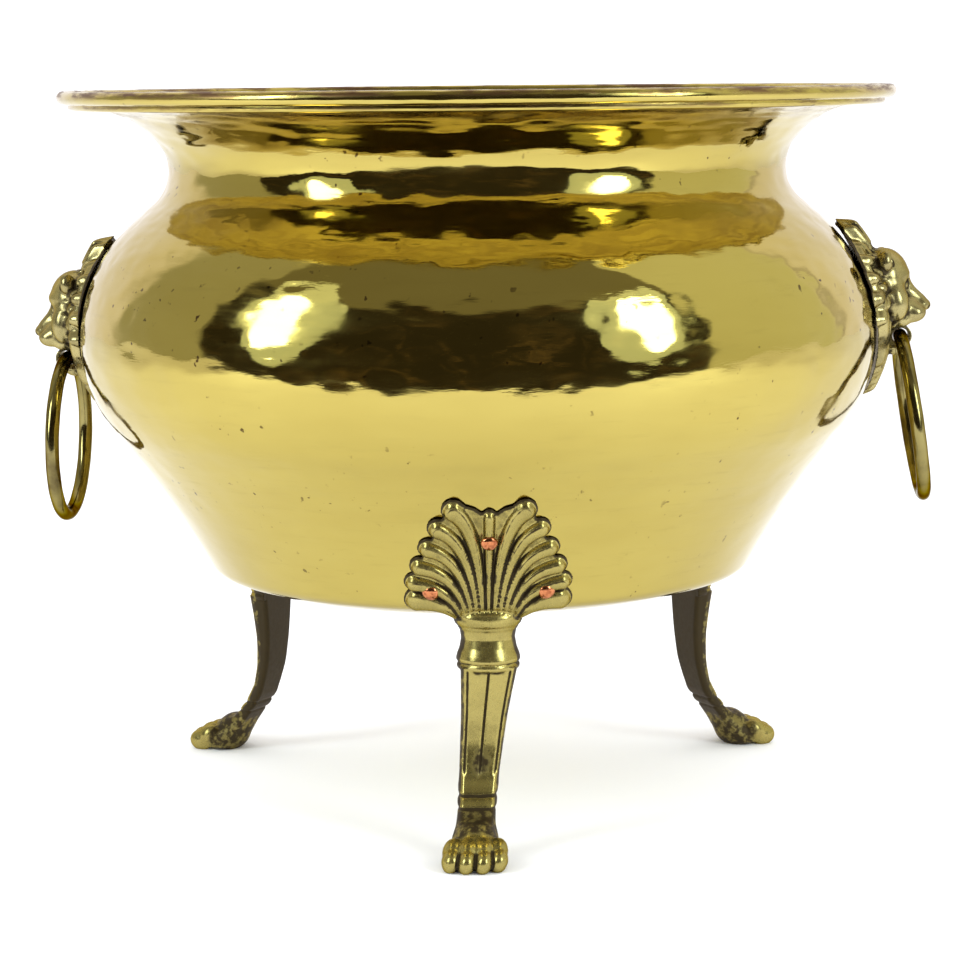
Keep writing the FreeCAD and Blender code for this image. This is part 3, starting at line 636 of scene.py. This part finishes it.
class Relief:
    """Heights over a plane (across, up) made of a base plate and rounded petals with seams between."""

    STEP = 0.25
    SEAM_DEPTH = 0.5

    def __init__(self, low, high, base):
        self.low, self.base = low, base
        self.across = np.arange(low[0], high[0], self.STEP)
        self.up = np.arange(low[1], high[1], self.STEP)
        self.height = np.full((len(self.across), len(self.up)), -3.0)
        self.seam = np.zeros(self.height.shape)
        self.seam_width = 0.52

    def plate(self, corners, edge=0.9):
        """A flat plate with these corners; the outline crosses a level an odd number of times inside."""
        y, z = self.across[:, None], self.up[None, :]
        gap = np.full(self.height.shape, 1e6)
        inside = np.zeros(self.height.shape, bool)
        for (ay, az), (by, bz) in zip(corners, corners[1:] + corners[:1]):
            gap = np.minimum(gap, to_segment(y, z, (ay, az), (by, bz))[1])
            if az != bz:
                inside ^= ((az > z) != (bz > z)) & (y < ay + (by - ay) * (z - az) / (bz - az))
        self.rim(np.where(inside, -gap, gap), edge)

    def rim(self, gap, edge):
        """A plate of the base height with a rounded edge, whose outline is where gap is 0."""
        fall = unit(1 + gap / edge)
        level = np.where(gap > 0, -gap, self.base * np.sqrt(np.maximum(1 - fall * fall, 0)))
        self.height = np.maximum(self.height, level)

    def petal(self, path, first, last, rise, rise_tip, margin):
        """A rounded petal along a path; its half width and rise go from the first to the last value."""
        y, z = self.across[:, None], self.up[None, :]
        best, radius_at, rise_at = np.full(self.height.shape, 1e6), 1.0, 0.0
        count = len(path) - 1
        for index, (start, end) in enumerate(zip(path, path[1:])):
            share, gap = to_segment(y, z, start, end)
            along = (index + share) / count
            radius = first + (last - first) * along
            closer = gap / radius < best
            best = np.where(closer, gap / radius, best)
            radius_at = np.where(closer, radius, radius_at)
            rise_at = np.where(closer, rise + (rise_tip - rise) * along, rise_at)
        dome = self.base + rise_at * np.sqrt(np.maximum(1 - best * best, 0))
        beside = (best < 1) & (self.height > self.base + 0.1)
        self.seam = np.where((best < 1) & (dome > self.height + 0.8), 0, self.seam)
        self.seam = np.maximum(self.seam, np.exp(-((dome - self.height) / self.seam_width) ** 2) * beside)
        self.height = np.maximum(self.height, np.where(best < 1, dome, -3.0))
        self.rim((best - 1) * radius_at - margin, margin)

    def settle(self, rounds=1):
        """Softens the relief, cuts the seams into it and works out how steep it is."""
        h = self.height
        for _ in range(rounds):
            h = (h + np.roll(h, 1, 0) + np.roll(h, -1, 0) + np.roll(h, 1, 1) + np.roll(h, -1, 1)) / 5
        self.height = h - self.SEAM_DEPTH * self.seam
        across, up = np.gradient(self.height, self.STEP)
        self.steep = np.sqrt(1 + np.minimum(across ** 2 + up ** 2, 9.0))

    def look_up(self, y, z, *grids):
        """Values of some of its grids over points of the plane."""
        at_y = np.clip((y - self.low[0]) / self.STEP, 0, len(self.across) - 1.01)
        at_z = np.clip((z - self.low[1]) / self.STEP, 0, len(self.up) - 1.01)
        return [bilinear(grid, at_y, at_z) for grid in grids]


# ---------------------------------------------------------------- legs

SKIN_STEP = 0.5


def skin_table():
    """Distance outside the bowl's skin over a grid of radius and height."""
    radius, height = np.arange(85, 185, SKIN_STEP), np.arange(85, 175, SKIN_STEP)
    line = LINE[(LINE[:, 0] > STARTS["dish"]) & (LINE[:, 0] < STARTS["belly_high"])]
    best = np.full((len(radius), len(height)), 1e6)
    signed = best.copy()
    for _, r, z, heading in line:
        dr, dz = radius[:, None] - r, height[None, :] - z
        gap = np.hypot(dr, dz)
        closer = gap < best
        best = np.where(closer, gap, best)
        signed = np.where(closer, dr * math.sin(heading) - dz * math.cos(heading), signed)
    return radius, height, signed


SKIN = skin_table()


def above_skin(x, y, z):
    """How far a point is outside the bowl."""
    radius, height, signed = SKIN
    at_r = np.clip((np.hypot(x, y) - radius[0]) / SKIN_STEP, 0, len(radius) - 1.01) + 0 * z
    at_z = np.clip((z - height[0]) / SKIN_STEP, 0, len(height) - 1.01) + 0 * at_r
    return bilinear(signed, at_r, at_z)


LEAF_ROOT = 100
LEAF_GAP = 0.15

# Root, control point and tip (across, height), half width at the root and at the tip.
PETALS = [
    ((12.4, LEAF_ROOT), (17.5, 109.0), (30.4, 109.2), 1.7, 4.4),
    ((10.6, LEAF_ROOT), (14.6, 116.0), (31.6, 117.6), 1.4, 3.1),
    ((8.6, LEAF_ROOT), (12.4, 123.0), (29.2, 125.2), 1.4, 3.2),
    ((6.6, LEAF_ROOT), (10.0, 130.5), (25.6, 133.8), 1.4, 3.3),
    ((4.5, LEAF_ROOT), (7.4, 138.0), (21.4, 143.0), 1.4, 3.5),
    ((2.4, LEAF_ROOT), (4.0, 145.0), (15.0, 151.6), 1.3, 4.0),
]


def mirrored(side, *points):
    """Points (across, height) as they are for side 1, or on the other side for -1."""
    return [(side * y, z) for y, z in points]


def leaf_relief():
    """The acanthus leaf: a plate, six petals on either side and one up the middle."""
    relief = Relief((-40, 96), (40, 162), 1.3)
    from_root = np.hypot(relief.across[:, None], relief.up[None, :] - LEAF_ROOT)
    relief.seam_width = 0.22 + 0.3 * unit((from_root - 16) / 20)
    side = [(6, 99), (28, 106.5), (33.0, 109), (32.0, 119), (29.5, 126), (25.5, 135), (21.0, 145),
            (17.0, 153), (12, 154.5), (6, 152.5), (2.5, 150)]
    relief.plate(side + mirrored(-1, *reversed(side)))
    for side in (1, -1):
        for *points, first, last in PETALS:
            relief.petal(curve(*mirrored(side, *points)), first, last, 2.1, 3.3, 1.2)
    relief.petal(curve((0, LEAF_ROOT), (0, 125), (0, 148.6)), 1.1, 2.4, 2.0, 2.4, 1.1)
    relief.settle()
    return relief


def leaf_place(z, above):
    """Height in the leaf's plane for a point that far over the skin; the petals lean outwards."""
    return z + 0.55 * above - 1.2


def leaf():
    """The leaf's relief, and the form it makes over the bowl's skin, a small gap away from it."""
    relief = leaf_relief()

    def shape(x, y, z):
        above = above_skin(x, y, z)
        place = leaf_place(z, above) + 0 * y
        height, steep = relief.look_up(y + 0 * above, place, relief.height, relief.steep)
        return np.maximum((above - height) / steep, LEAF_GAP - above)

    return relief, (shape, (108, -37, 97), (160, 37, 160))


# Height and radius up the turned collar.
COLLAR = [(78.3, 12.6), (79.0, 13.4), (80.2, 13.6), (80.9, 13.3), (81.4, 12.9), (82.0, 13.6),
          (83.0, 13.85), (85.0, 13.4), (88.0, 12.3), (92.0, 11.6), (95.5, 12.2), (96.4, 12.9),
          (97.3, 13.2), (98.3, 14.2), (100.0, 14.9), (101.8, 14.4), (102.8, 13.2)]
COLLAR_AXIS = 114.0
# A slanting wall is nearer than it is along the level; these factors allow for that.
COLLAR_SLANT, SHAFT_SLANT = 0.85, 0.86


def collar():
    """The collar's front half; the leg's back is flat there."""
    heights, radii = np.array(COLLAR).T

    def shape(x, y, z):
        across = np.hypot(x - COLLAR_AXIS, y)
        round_part = (across - np.interp(z, heights, radii)) * COLLAR_SLANT
        ends = np.maximum(z - heights[-1], heights[0] - z)
        return np.maximum(np.maximum(round_part, ends), COLLAR_AXIS - x)

    return shape, (COLLAR_AXIS, -15, heights[0]), (130, 15, heights[-1])


# Height, back and front of the shaft (radius from the pot's axis) and its width.
SHAFT = np.array([
    (2.0, 143.0, 156.0, 22.0), (10.0, 135.8, 146.0, 18.2), (16.0, 130.9, 139.6, 16.4),
    (21.0, 127.2, 134.8, 16.2), (27.0, 122.8, 129.6, 16.4), (33.0, 119.6, 126.5, 17.1),
    (45.0, 115.9, 123.6, 18.4), (58.0, 114.3, 123.0, 19.8), (70.0, 114.0, 123.9, 22.2),
    (80.0, 114.0, 125.2, 24.3),
])
FLUTE_TOP, FLUTE_FOOT = 79.5, 33.0
FLUTE_AT = 0.76
ANKLE_LINES = (21.0, 25.8)
CORNER = 2.0


def smooth_table(heights, values):
    """Finer samples of a table, eased so that the shaft has no kinks."""
    fine = np.linspace(heights[0], heights[-1], 120)
    eased = np.interp(fine, heights, values)
    for _ in range(25):
        eased[1:-1] = (eased[:-2] + 2 * eased[1:-1] + eased[2:]) / 4
    return fine, eased


def shaft_lines(y, z, half):
    """1 in the middle of each line cut into the shaft: three down its front, two round the ankle."""
    fade = unit((z - FLUTE_FOOT) / 3) * unit((FLUTE_TOP - z) / 1.5)
    down = sum(bell(y - at * half, 0.36) for at in (-FLUTE_AT, 0, FLUTE_AT))
    across = sum(bell(z - at, 0.5) for at in ANKLE_LINES)
    return fade * down, across


def shaft():
    """A flat bar with rounded corners that falls away outside its outer lines, with ankle ridges."""
    heights = SHAFT[:, 0]
    backs, fronts, widths = (smooth_table(heights, SHAFT[:, column]) for column in (1, 2, 3))

    def shape(x, y, z):
        back, front, half = np.interp(z, *backs), np.interp(z, *fronts), np.interp(z, *widths) / 2
        middle, deep = (back + front) / 2, (front - back) / 2
        share = np.clip(y / half, -1, 1)
        outer = np.maximum(np.abs(share) - FLUTE_AT, 0) / (1 - FLUTE_AT)
        crown = 0.8 * share ** 2 + 2.2 * outer ** 1.5
        down, across = shaft_lines(y, z, half)
        ridge = bell(z - 23.4, 1.4) + bell(z - 29.0, 2.0)
        wide = half + 0.3 * ridge - 0.4 * across
        dx = np.abs(x - middle + crown / 2) - deep + crown / 2 + np.where(x > middle, 1.1 * down, 0)
        dx = dx - 0.4 * ridge + 0.6 * across
        dy = np.abs(y) - wide
        out = np.hypot(np.maximum(dx + CORNER, 0), np.maximum(dy + CORNER, 0))
        side = out + np.minimum(np.maximum(dx, dy) + CORNER, 0) - CORNER
        return np.maximum(SHAFT_SLANT * side, np.maximum(z - heights[-1], heights[0] - z))

    return shape, (110, -15, heights[0]), (158, 15, heights[-1])


def under_floor(x, y, z):
    """What is cut off so that the leg stands flat."""
    return z + 0 * x + 0 * y


def make_leg_mesh():
    """Leaf, collar, the swelling that joins them, shaft and paw as one casting, cut flat at the floor."""
    sculpt = Sculpt((105, -38, -1), (170, 38, 164), 0.45)
    relief, leaf_form = leaf()
    sculpt.add(leaf_form)
    sculpt.add(collar(), 0.5)
    sculpt.add(blob((124.2, 0, 102.0), (4.4, 10.6, 3.0)), 1.6)
    sculpt.add(shaft(), 0.3)
    add_paw(sculpt)
    sculpt.add((under_floor, (100, -20, -1), (172, 20, 1)), cut=True)
    vertices, quads, hollow = sculpt.mesh()
    return vertices, quads, leg_patina_and_shade(vertices, hollow, relief)


def leg_patina_and_shade(vertices, hollow, relief):
    """Age darkens the hollows, cut lines and seams and a spot on the shin; painted shade darkens the flanks,
    the back and the heel.
    """
    x, y, z = vertices.T
    heights = SHAFT[:, 0]
    back, front, width = (np.interp(z, heights, SHAFT[:, column]) for column in (1, 2, 3))
    on_shaft, on_leaf, in_front = z < heights[-1], z > COLLAR[-1][0], x > (back + front) / 2
    above = above_skin(x, y, z)
    down, across = shaft_lines(y, z, width / 2)
    lines = np.where(on_shaft & in_front, down, 0) + np.where(on_shaft, across, 0)
    behind = unit(1.0 - (x - back) / (0.7 * (front - back))) * unit((z - 14) / 8)
    # Painted shade on the leg's back, towards the bowl, from above the paw up to the leaf.
    back_shade = np.where(z < COLLAR[-1][0], np.minimum(1.6 * behind, 0.58), 0)
    # Painted shade at the heel and the instep behind the toes.
    heel = 0.4 * unit((153 - x) / 6) * unit((24 - z) / 4)
    at_bowl = np.where(on_leaf, unit(1.7 - above / 0.9), 0)
    joint = bell(z - 104.2, 1.7) * (np.abs(y) < 12)
    grooves = np.where(on_leaf, 1.5, 1.2) * hollow * (1 - 0.8 * joint)
    seam = relief.look_up(y, leaf_place(z, above), relief.seam)[0] * on_leaf
    spot = 0.48 * np.exp(-((z - 39.5) / 8.0) ** 2 - (y / 5.4) ** 2) * in_front
    # Painted shade on the shaft's flanks.
    flank = 0.42 * unit((np.abs(y) / width - 0.4) / 0.06) * on_shaft * (z > 18)
    dark = [grooves, 0.8 * lines, back_shade, heel, at_bowl, 0.75 * seam, spot, flank]
    return unit(np.maximum.reduce(dark))


def add_paw(sculpt):
    """Instep, ball and four round toes with narrow clefts."""
    sculpt.add(blob((142.0, 0, 10.0), (9.0, 8.8, 7.6), 33), 3.5)
    sculpt.add(blob((147.4, 0, 5.6), (11.0, 11.4, 7.4)), 3.0)
    for sideways, shorter in ((3.5, 0.0), (9.9, 2.4)):
        for side in (1, -1):
            sculpt.add(blob((153.6 - shorter, side * sideways * 0.94, 7.0), (6.6, 4.5, 5.2), 30), 1.2)
            sculpt.add(blob((157.6 - shorter, side * sideways, 4.4), (6.2, 4.1, 5.2)), 0.6)


def on_wall(height, azimuth, turn):
    """Placement on the bowl's wall, with X outwards and then turned about Y."""
    place = Vector((at_height(height)[0], 0, height)) * MM
    return Matrix.Rotation(azimuth, 4, "Z") @ Matrix.Translation(place) @ Matrix.Rotation(turn, 4, "Y")


RIVET_HIGH, RIVET_LOW, RIVET_SPREAD = 139.5, 115.6, 23.9
RIVET_BASE, RIVET_TAIL, SHANK_RADIUS = 3.2, -SHEET - 0.5, 1.6
HEAD_RADIUS, HEAD_RISE = 3.65, 2.45
TAIL_RADIUS, TAIL_RISE = 2.9, 1.2
RIVET_SIDES, RIVET_WOBBLE = 40, 0.018


def make_rivets(label, placement):
    """Three copper rivets: hand-set domes outside, hammered tails inside."""
    arc = np.linspace(0, math.pi / 2, 12)
    head = np.stack([HEAD_RADIUS * np.cos(arc), RIVET_BASE + HEAD_RISE * np.sin(arc)], axis=1)
    tail = np.stack([TAIL_RADIUS * np.cos(arc), RIVET_TAIL - TAIL_RISE * np.sin(arc)], axis=1)[::-1]
    shank = np.array([(SHANK_RADIUS, RIVET_TAIL), (SHANK_RADIUS, RIVET_BASE)])
    vertices, faces = turned(np.concatenate([tail, shank, head]), RIVET_SIDES, RIVET_WOBBLE)
    aside = math.asin(RIVET_SPREAD / at_height(RIVET_LOW)[0])
    for where, height, azimuth in (("top", RIVET_HIGH, 0.0), ("left", RIVET_LOW, -aside),
                                   ("right", RIVET_LOW, aside)):
        spot = placement @ on_wall(height, azimuth, math.pi - at_height(height)[1])
        node = f"{label}_rivet_{where}"
        make_piece(f"{node}_domed", vertices, faces, "pot", COPPER, node,
                   matrix=spot @ Matrix.Rotation(rng.uniform(0, 6), 4, "Z"))


# The front leg stands a little off the middle of the pot's front and is bent sideways.
FRONT_LEG_OFF = math.radians(1.4)
FRONT_LEG_BEND = math.radians(5.8)


def make_legs():
    """Three castings; the front one is bent a little sideways below its collar."""
    vertices, quads, patina_and_shade = make_leg_mesh()
    bent = vertices.copy()
    bent[:, 1] -= np.maximum(COLLAR[0][0] - vertices[:, 2], 0) * math.tan(FRONT_LEG_BEND)
    front, third = FRONT_TURN - math.pi / 2, math.radians(120)
    for label, azimuth, points in (("leg_front", front + FRONT_LEG_OFF, bent),
                                   ("leg_rear_right", front + third, vertices),
                                   ("leg_rear_left", front - third, vertices)):
        placement = Matrix.Rotation(azimuth, 4, "Z")
        make_piece(f"{label}_cast", points, quads.tolist(), "pot", LEG_BRASS, label,
                   {"patina_and_shade": patina_and_shade}, placement)
        make_rivets(label, placement)


# ---------------------------------------------------------------- masks

# The back's radius up and down and round the pot, and its gap to the bowl's skin.
BOW, BELLY_RADIUS, STANDOFF = 65.7, 182, 1.8
# The ring's pin from the mask's middle, the jaw round it and the bore through it.
JAW_OUT, JAW_DOWN, JAW_RADIUS, BORE_RADIUS = 9.2, 15.8, 5.2, 3.75


def above_back(x, y, z):
    """How far a point is in front of the mask's hollow back, which follows the belly both ways."""
    return np.hypot(x + BOW + y * y / (2 * BELLY_RADIUS), z) - BOW - STANDOFF


# Locks beside the face and below it, and the sides of the crest: three points (across, height), half
# widths and rises at root and tip, and how many points the curve is drawn with.
LOCKS = [
    ((23, 2), (22, -10), (15, -23), 4.0, 3.6, 2.6, 1.8, 10),
    ((15, -8), (15, -18), (9.5, -29), 3.6, 3.0, 3.0, 1.8, 10),
    ((2, 22), (7, 29), (6.2, 36), 1.8, 2.2, 4.0, 3.2, 8),
    ((4, -20), (9, -25), (12, -28), 2.0, 2.0, 3.2, 1.6, 8),
    ((2, -22), (5.5, -29), (6.8, -34), 1.8, 1.9, 3.2, 1.8, 8),
]
MIDDLE_LOCKS = [
    ((0, 22), (0, 30), (0, 37.6), 2.0, 3.2, 4.2, 3.8, 8),
    ((0, -20), (0, -30), (0, -37.5), 2.0, 2.2, 3.4, 2.2, 8),
]


def mane_relief():
    """Locks in two rows round the face, a crest on top and a beard below."""
    relief = Relief((-34, -45), (34, 46), 1.9)
    side = [(5, 40), (8, 37.5), (9, 31), (17, 28.5), (24.5, 20.5), (27.5, 10), (27.5, -2), (24.5, -13),
            (18, -23), (12.5, -31), (5.5, -38)]
    relief.plate(side + mirrored(-1, *reversed(side)), edge=1.2)

    def lock(side, root, control, tip, first, last, rise, rise_tip, count):
        path = curve(*mirrored(side, root, control, tip), count)
        relief.petal(path, first, last, rise, rise_tip, 0.5)

    for side in (1, -1):
        for row, (start, reach, rise) in enumerate(((62, 28.6, 2.4), (54, 22.5, 4.0))):
            for degrees in range(start, -22, -19):
                angle, bend = math.radians(degrees), math.radians(degrees + 9)
                lock(side, (11 * math.cos(angle), 4 + 13 * math.sin(angle)),
                     (0.72 * reach * math.cos(bend), 3 + 0.74 * reach * math.sin(bend)),
                     (reach * math.cos(angle), 2 + (reach + 0.5) * math.sin(angle)),
                     4.0, 2.4 + 0.3 * row, rise + 0.6, rise - 0.4, 10)
        for shape in LOCKS:
            lock(side, *shape)
    for shape in MIDDLE_LOCKS:
        lock(1, *shape)
    relief.settle(4)
    return relief


def mane():
    """The relief laid over the mask's bow, with a back that comes nearer the bowl further up."""
    relief = mane_relief()

    def shape(x, y, z):
        above = above_back(x, y, z)
        height, steep = relief.look_up(y + 0 * above, z + 0 * above, relief.height, relief.steep)
        skirt = np.clip(1.1 + 0.03 * z, 0, 1.8) * unit((37 - z) / 3)
        return np.maximum((above - height) / steep, -above - skirt)

    return shape, (-13, -32, -43), (12, 32, 44)


def crest_tab(x, y, z):
    """The blunt top of the crest, a rounded block."""
    above = above_back(x, y, z)
    out = np.sqrt(np.maximum(np.abs(above - 2.3) - 2.8, 0) ** 2 + np.maximum(np.abs(y) - 3.4, 0) ** 2
                  + np.maximum(np.abs(z - 33.8) - 4.4, 0) ** 2)
    return out - 1.3


def make_mask_mesh():
    """Mane, crest, face and jaw, with a boss and a stud behind that carry the nut."""
    sculpt = Sculpt((-14, -33, -44), (28, 33, 45), 0.42)
    sculpt.add(mane())
    sculpt.add((crest_tab, (-16, -7, 26), (8, 7, 42)), 1.5)
    add_face(sculpt)
    add_mouth(sculpt)
    sculpt.add(pin(7, 0.2, 7))
    sculpt.add(pin(2.5, -8, 4))
    vertices, quads, hollow = sculpt.mesh()
    x, y, z = vertices.T
    # Painted shade on the mask's back towards the bowl, fading out below the middle; 1.2 * hollow is patina
    # in the hollows.
    back = np.clip(-above_back(x, y, z) / 1.2, 0, 0.6) * unit((z + 5) / 15)
    return vertices, quads, unit(np.maximum(1.2 * hollow, back))


def add_face(sculpt):
    """Skull, brows, eyes, nose, cheeks and ears of the lion."""
    sculpt.add(blob((6.2, 0, 12), (11.2, 16.0, 13.0)), 2.5)
    sculpt.both((12.6, 5.6, 12.0), (4.4, 5.4, 3.0), -12, blend=2.0)
    sculpt.both((8.5, 12.0, 1.0), (6.2, 6.4, 9.0), blend=2.5)
    sculpt.add(blob((12.0, 0, -4.2), (9.0, 10.2, 7.0)), 2.0)
    sculpt.add(rod((12.0, 0, 13), (14.4, 0, 5), 3.7, 3.65), 1.8)
    sculpt.add(rod((14.4, 0, 5), (19.8, 0, -1.6), 3.65, 3.6), 1.8)
    sculpt.add(blob((21.2, 0, -3.2), (3.9, 4.8, 3.0), 20), 0.9)
    sculpt.both((16.6, 4.6, -6.2), (5.6, 5.2, 4.3), blend=1.6)
    sculpt.both((24.4, 2.3, -4.7), (1.5, 1.1, 0.9), blend=0.3, cut=True)
    sculpt.add(rod((24.8, 0, -6.2), (20.5, 0, -10.8), 0.5, 0.5), 0.5, cut=True)
    sculpt.both((16.0, 6.5, 7.4), (2.9, 3.2, 2.5), blend=0.8, cut=True)
    sculpt.both((13.3, 6.5, 7.2), (2.6, 2.6, 2.1), blend=0.2)
    sculpt.both((16.1, 6.5, 7.2), (0.9, 0.75, 0.75), blend=0.2, cut=True)
    sculpt.both((6.6, 14.5, 19.5), (3.8, 4.4, 5.0), 15, blend=0.9)
    sculpt.both((9.9, 14.8, 19.8), (2.4, 2.3, 3.0), 15, blend=0.6, cut=True)
    sculpt.add(rod((17.6, 0, 13.5), (13.5, 0, 21), 0.9, 0.5), 1.4, cut=True)
    sculpt.both((9.0, 6.6, -8.2), (6.2, 4.6, 3.8), blend=1.5)


def add_mouth(sculpt):
    """The jaw under the muzzle that the ring hangs from."""
    def jaw(x, y, z):
        block = np.maximum(np.abs(z + JAW_DOWN) - JAW_RADIUS, np.maximum(x - JAW_OUT, 1.6 - x))
        nose = np.hypot(x - JAW_OUT, z + JAW_DOWN) - JAW_RADIUS
        return np.maximum(np.minimum(block, nose), np.abs(y) - 5.3)

    def bore(x, y, z):
        return np.hypot(x - JAW_OUT, z + JAW_DOWN) - BORE_RADIUS + 0 * y

    sculpt.add((jaw, (1, -6, -22), (16, 6, -10)), 0.8)
    sculpt.add(blob((6.2, 0, -21.2), (4.5, 5.0, 3.2)), 1.2)
    sculpt.add((bore, (JAW_OUT - 5, -14, -21), (JAW_OUT + 5, 14, -11)), cut=True)


RING_RADIUS, RING_WIRE = 36.75, 3.25
RING_STEPS, WIRE_STEPS = 288, 36


def make_ring(side, placement):
    """A drop ring, filed round by hand, so its wire is a little uneven."""
    along = np.linspace(0, 2 * math.pi, RING_STEPS, endpoint=False)[:, None]
    round_wire = np.linspace(0, 2 * math.pi, WIRE_STEPS, endpoint=False)[None, :]
    wire = RING_WIRE * (1 - 0.012 * (1 + np.sin(7 * along + 2 * round_wire))
                        - 0.008 * (1 + np.sin(17 * along - round_wire)))
    reach = RING_RADIUS + wire * np.cos(round_wire)
    points = np.stack([wire * np.sin(round_wire) + 0 * along, reach * np.sin(along),
                       reach * np.cos(along)], axis=-1).reshape(-1, 3)
    points += np.array([JAW_OUT, 0, -JAW_DOWN - RING_RADIUS])
    body = f"ring_{side}"
    make_piece(f"{body}_drop", points, grid_faces(RING_STEPS, WIRE_STEPS, closed=True), body,
               RING_BRASS, body, matrix=placement)


# Side, height, lean back in degrees and azimuth; the two are set a little differently.
MASKS = (("left", 216.5, 1.5, math.pi), ("right", 224.5, 8.7, 0.0))


def make_masks():
    """Two casts of one pattern, each with its ring."""
    vertices, quads, patina_and_shade = make_mask_mesh()
    mesh = None
    for side, height, lean, azimuth in MASKS:
        placement = on_wall(height, azimuth, -math.radians(lean))
        name, node = f"lion_mask_{side}_cast", f"lion_mask_{side}"
        if mesh is None:
            mesh = make_piece(name, vertices, quads.tolist(), "pot", MASK_BRASS, node,
                              {"patina_and_shade": patina_and_shade}, placement).data
        else:
            place_piece(name, mesh, "pot", MASK_BRASS, node, placement)
        make_ring(side, placement)


def dress_cad_nodes():
    """The CAD nodes that stay in view get their metals."""
    for name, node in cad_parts.items():
        if not node.hide_render:
            node.data.materials.clear()
            node.data.materials.append(IRON if name == "rim_wire" else STEEL)


# ---------------------------------------------------------------- studio

def turned_to_camera(x, y, z):
    """A point given to the right of, away from and above the middle of the floor, as the camera sees it."""
    c, s = math.cos(FRONT_TURN), math.sin(FRONT_TURN)
    return Vector((c * x - s * y, s * x + c * y, z))


CAMERA_BACK, CAMERA_HEIGHT, LENS = 1.3121, 0.33106, 106.76
PITCH, ROLL = math.radians(8.15), math.radians(-0.55)


def make_camera():
    data = bpy.data.cameras.new("camera")
    data.lens = LENS
    camera = put("camera", data)
    turn = (Matrix.Rotation(FRONT_TURN, 4, "Z") @ Matrix.Rotation(math.pi / 2 - PITCH, 4, "X")
            @ Matrix.Rotation(ROLL, 4, "Z"))
    camera.matrix_world = Matrix.Translation(turned_to_camera(0, -CAMERA_BACK, CAMERA_HEIGHT)) @ turn
    bpy.context.scene.camera = camera


def make_floor(name, near, far, glossy):
    """A strip of pale floor between two distances beyond the pot's middle; the brass may reflect it."""
    corners = [turned_to_camera(x, y, 0) for x, y in ((-4, near), (4, near), (4, far), (-4, far))]
    mesh = bpy.data.meshes.new(name)
    mesh.from_pydata([tuple(corner) for corner in corners], [], [(0, 1, 2, 3)])
    floor = put(name, mesh)
    mesh.materials.append(PAPER)
    floor.visible_glossy = glossy


AIM = Vector((0, 0, 0.2))


def make_light(name, place, size, power, glossy=True, tint=(1, 1, 1)):
    """An oval soft light that faces the pot; the brass may reflect it."""
    data = bpy.data.lights.new(name, "AREA")
    data.shape = "ELLIPSE"
    data.size, data.size_y = size
    data.energy = power
    data.color = tint
    light = put(name, data)
    light.location = turned_to_camera(*place)
    aim = AIM - light.location
    light.rotation_euler = aim.to_track_quat("-Z", "Y").to_euler()
    light.visible_glossy = glossy


def panel(look, across, up, left, right, low, high, soft):
    """1 inside a panel given in degrees round from the camera and up, else 0."""
    share = None
    for value, first, last in ((across, left, right), (up, low, high)):
        for edge, rising in ((first, 1.0), (last, 0.0)):
            side = look.band(value, edge - soft, edge + soft, 1.0 - rising, rising)
            share = side if share is None else look.math("MULTIPLY", share, side)
    return share


# Plain panels round the pot: left, right, low, high in degrees, softness, colour. The side behind
# the camera is left dark.
PANELS = [
    (-200, 200, 40, 95, 3.0, (0.3, 0.285, 0.215)),
    (-136, -84, -30, 95, 2.0, (0.6, 0.6, 0.5)),
    (66, 122, -40, 64, 1.5, (1.0, 1.03, 0.85)),
    (122, 200, -95, 70, 6.0, (1.2, 1.16, 1.18)),
    (-200, -124, -95, 70, 6.0, (1.2, 1.16, 1.18)),
]


# The panels' edges waver by half of this many degrees either way.
WAVER = 16.0


def make_world():
    """Dim panels that the brass reflects; the floor and the camera see plain white instead."""
    world = bpy.data.worlds.new("studio")
    bpy.context.scene.world = world
    world.use_nodes = True
    look = Nodes(world.node_tree, "Generated")
    look.place = look.add("Mapping", Vector=look.place, Rotation=(0, 0, -FRONT_TURN)).outputs[0]
    split = look.add("SeparateXYZ", Vector=look.place).outputs
    towards = look.math("MULTIPLY", split["Y"], -1.0)
    degrees = 180 / math.pi
    across = look.math("MULTIPLY", look.math("ARCTAN2", split["X"], towards), degrees)
    waver = look.math("MULTIPLY", look.noise(5.0, 4.0, 0.6), WAVER)
    across = look.math("SUBTRACT", look.math("ADD", across, waver), WAVER / 2)
    up = look.math("MULTIPLY", look.math("ARCSINE", split["Z"]), degrees)
    clutter = look.noise(6.0, 4.0, 0.65, distortion=0.8)
    colour = look.mix(look.band(clutter, 0.5, 0.78), (0.045, 0.038, 0.028), (0.2, 0.14, 0.085))
    for *edges, soft, tint in PANELS:
        colour = look.mix(panel(look, across, up, *edges, soft), colour, tint)
    rays = look.add("LightPath").outputs
    plain = look.math("MAXIMUM", rays["Is Camera Ray"], rays["Is Diffuse Ray"])
    look.set(look.nodes["Background"], Color=look.mix(plain, colour, (1.27, 1.28, 1.35)))


# The brass doesn't reflect the floor nearer the camera than this.
TABLE_EDGE = -0.7
SOFTBOX, GLOW = (0.85, 0.95, 1.0), (0.8, 0.95, 1.0)


def make_studio():
    """Camera, floor, an overhead light, two softboxes and a wider, dimmer glow beside each."""
    make_camera()
    make_floor("floor_table", TABLE_EDGE, 4.0, True)
    make_floor("floor_beyond", -5.0, TABLE_EDGE, False)
    make_light("overhead", (0.0, 0.2, 2.4), (3.0, 3.0), 12.0, glossy=False)
    make_light("softbox_left", (-1.26, -0.8, 0.86), (0.4, 1.0), 10.0, tint=SOFTBOX)
    make_light("softbox_right", (1.12, -1.02, 0.74), (0.4, 1.0), 10.0, tint=SOFTBOX)
    make_light("glow_left", (-1.3, -0.9, 0.86), (0.8, 1.5), 3.6, tint=GLOW)
    make_light("glow_right", (1.14, -1.1, 0.74), (0.8, 1.5), 3.6, tint=GLOW)
    make_world()
    bpy.context.scene.view_settings.view_transform = "Standard"


make_studio()
make_bowl()
make_legs()
make_masks()
dress_cad_nodes()
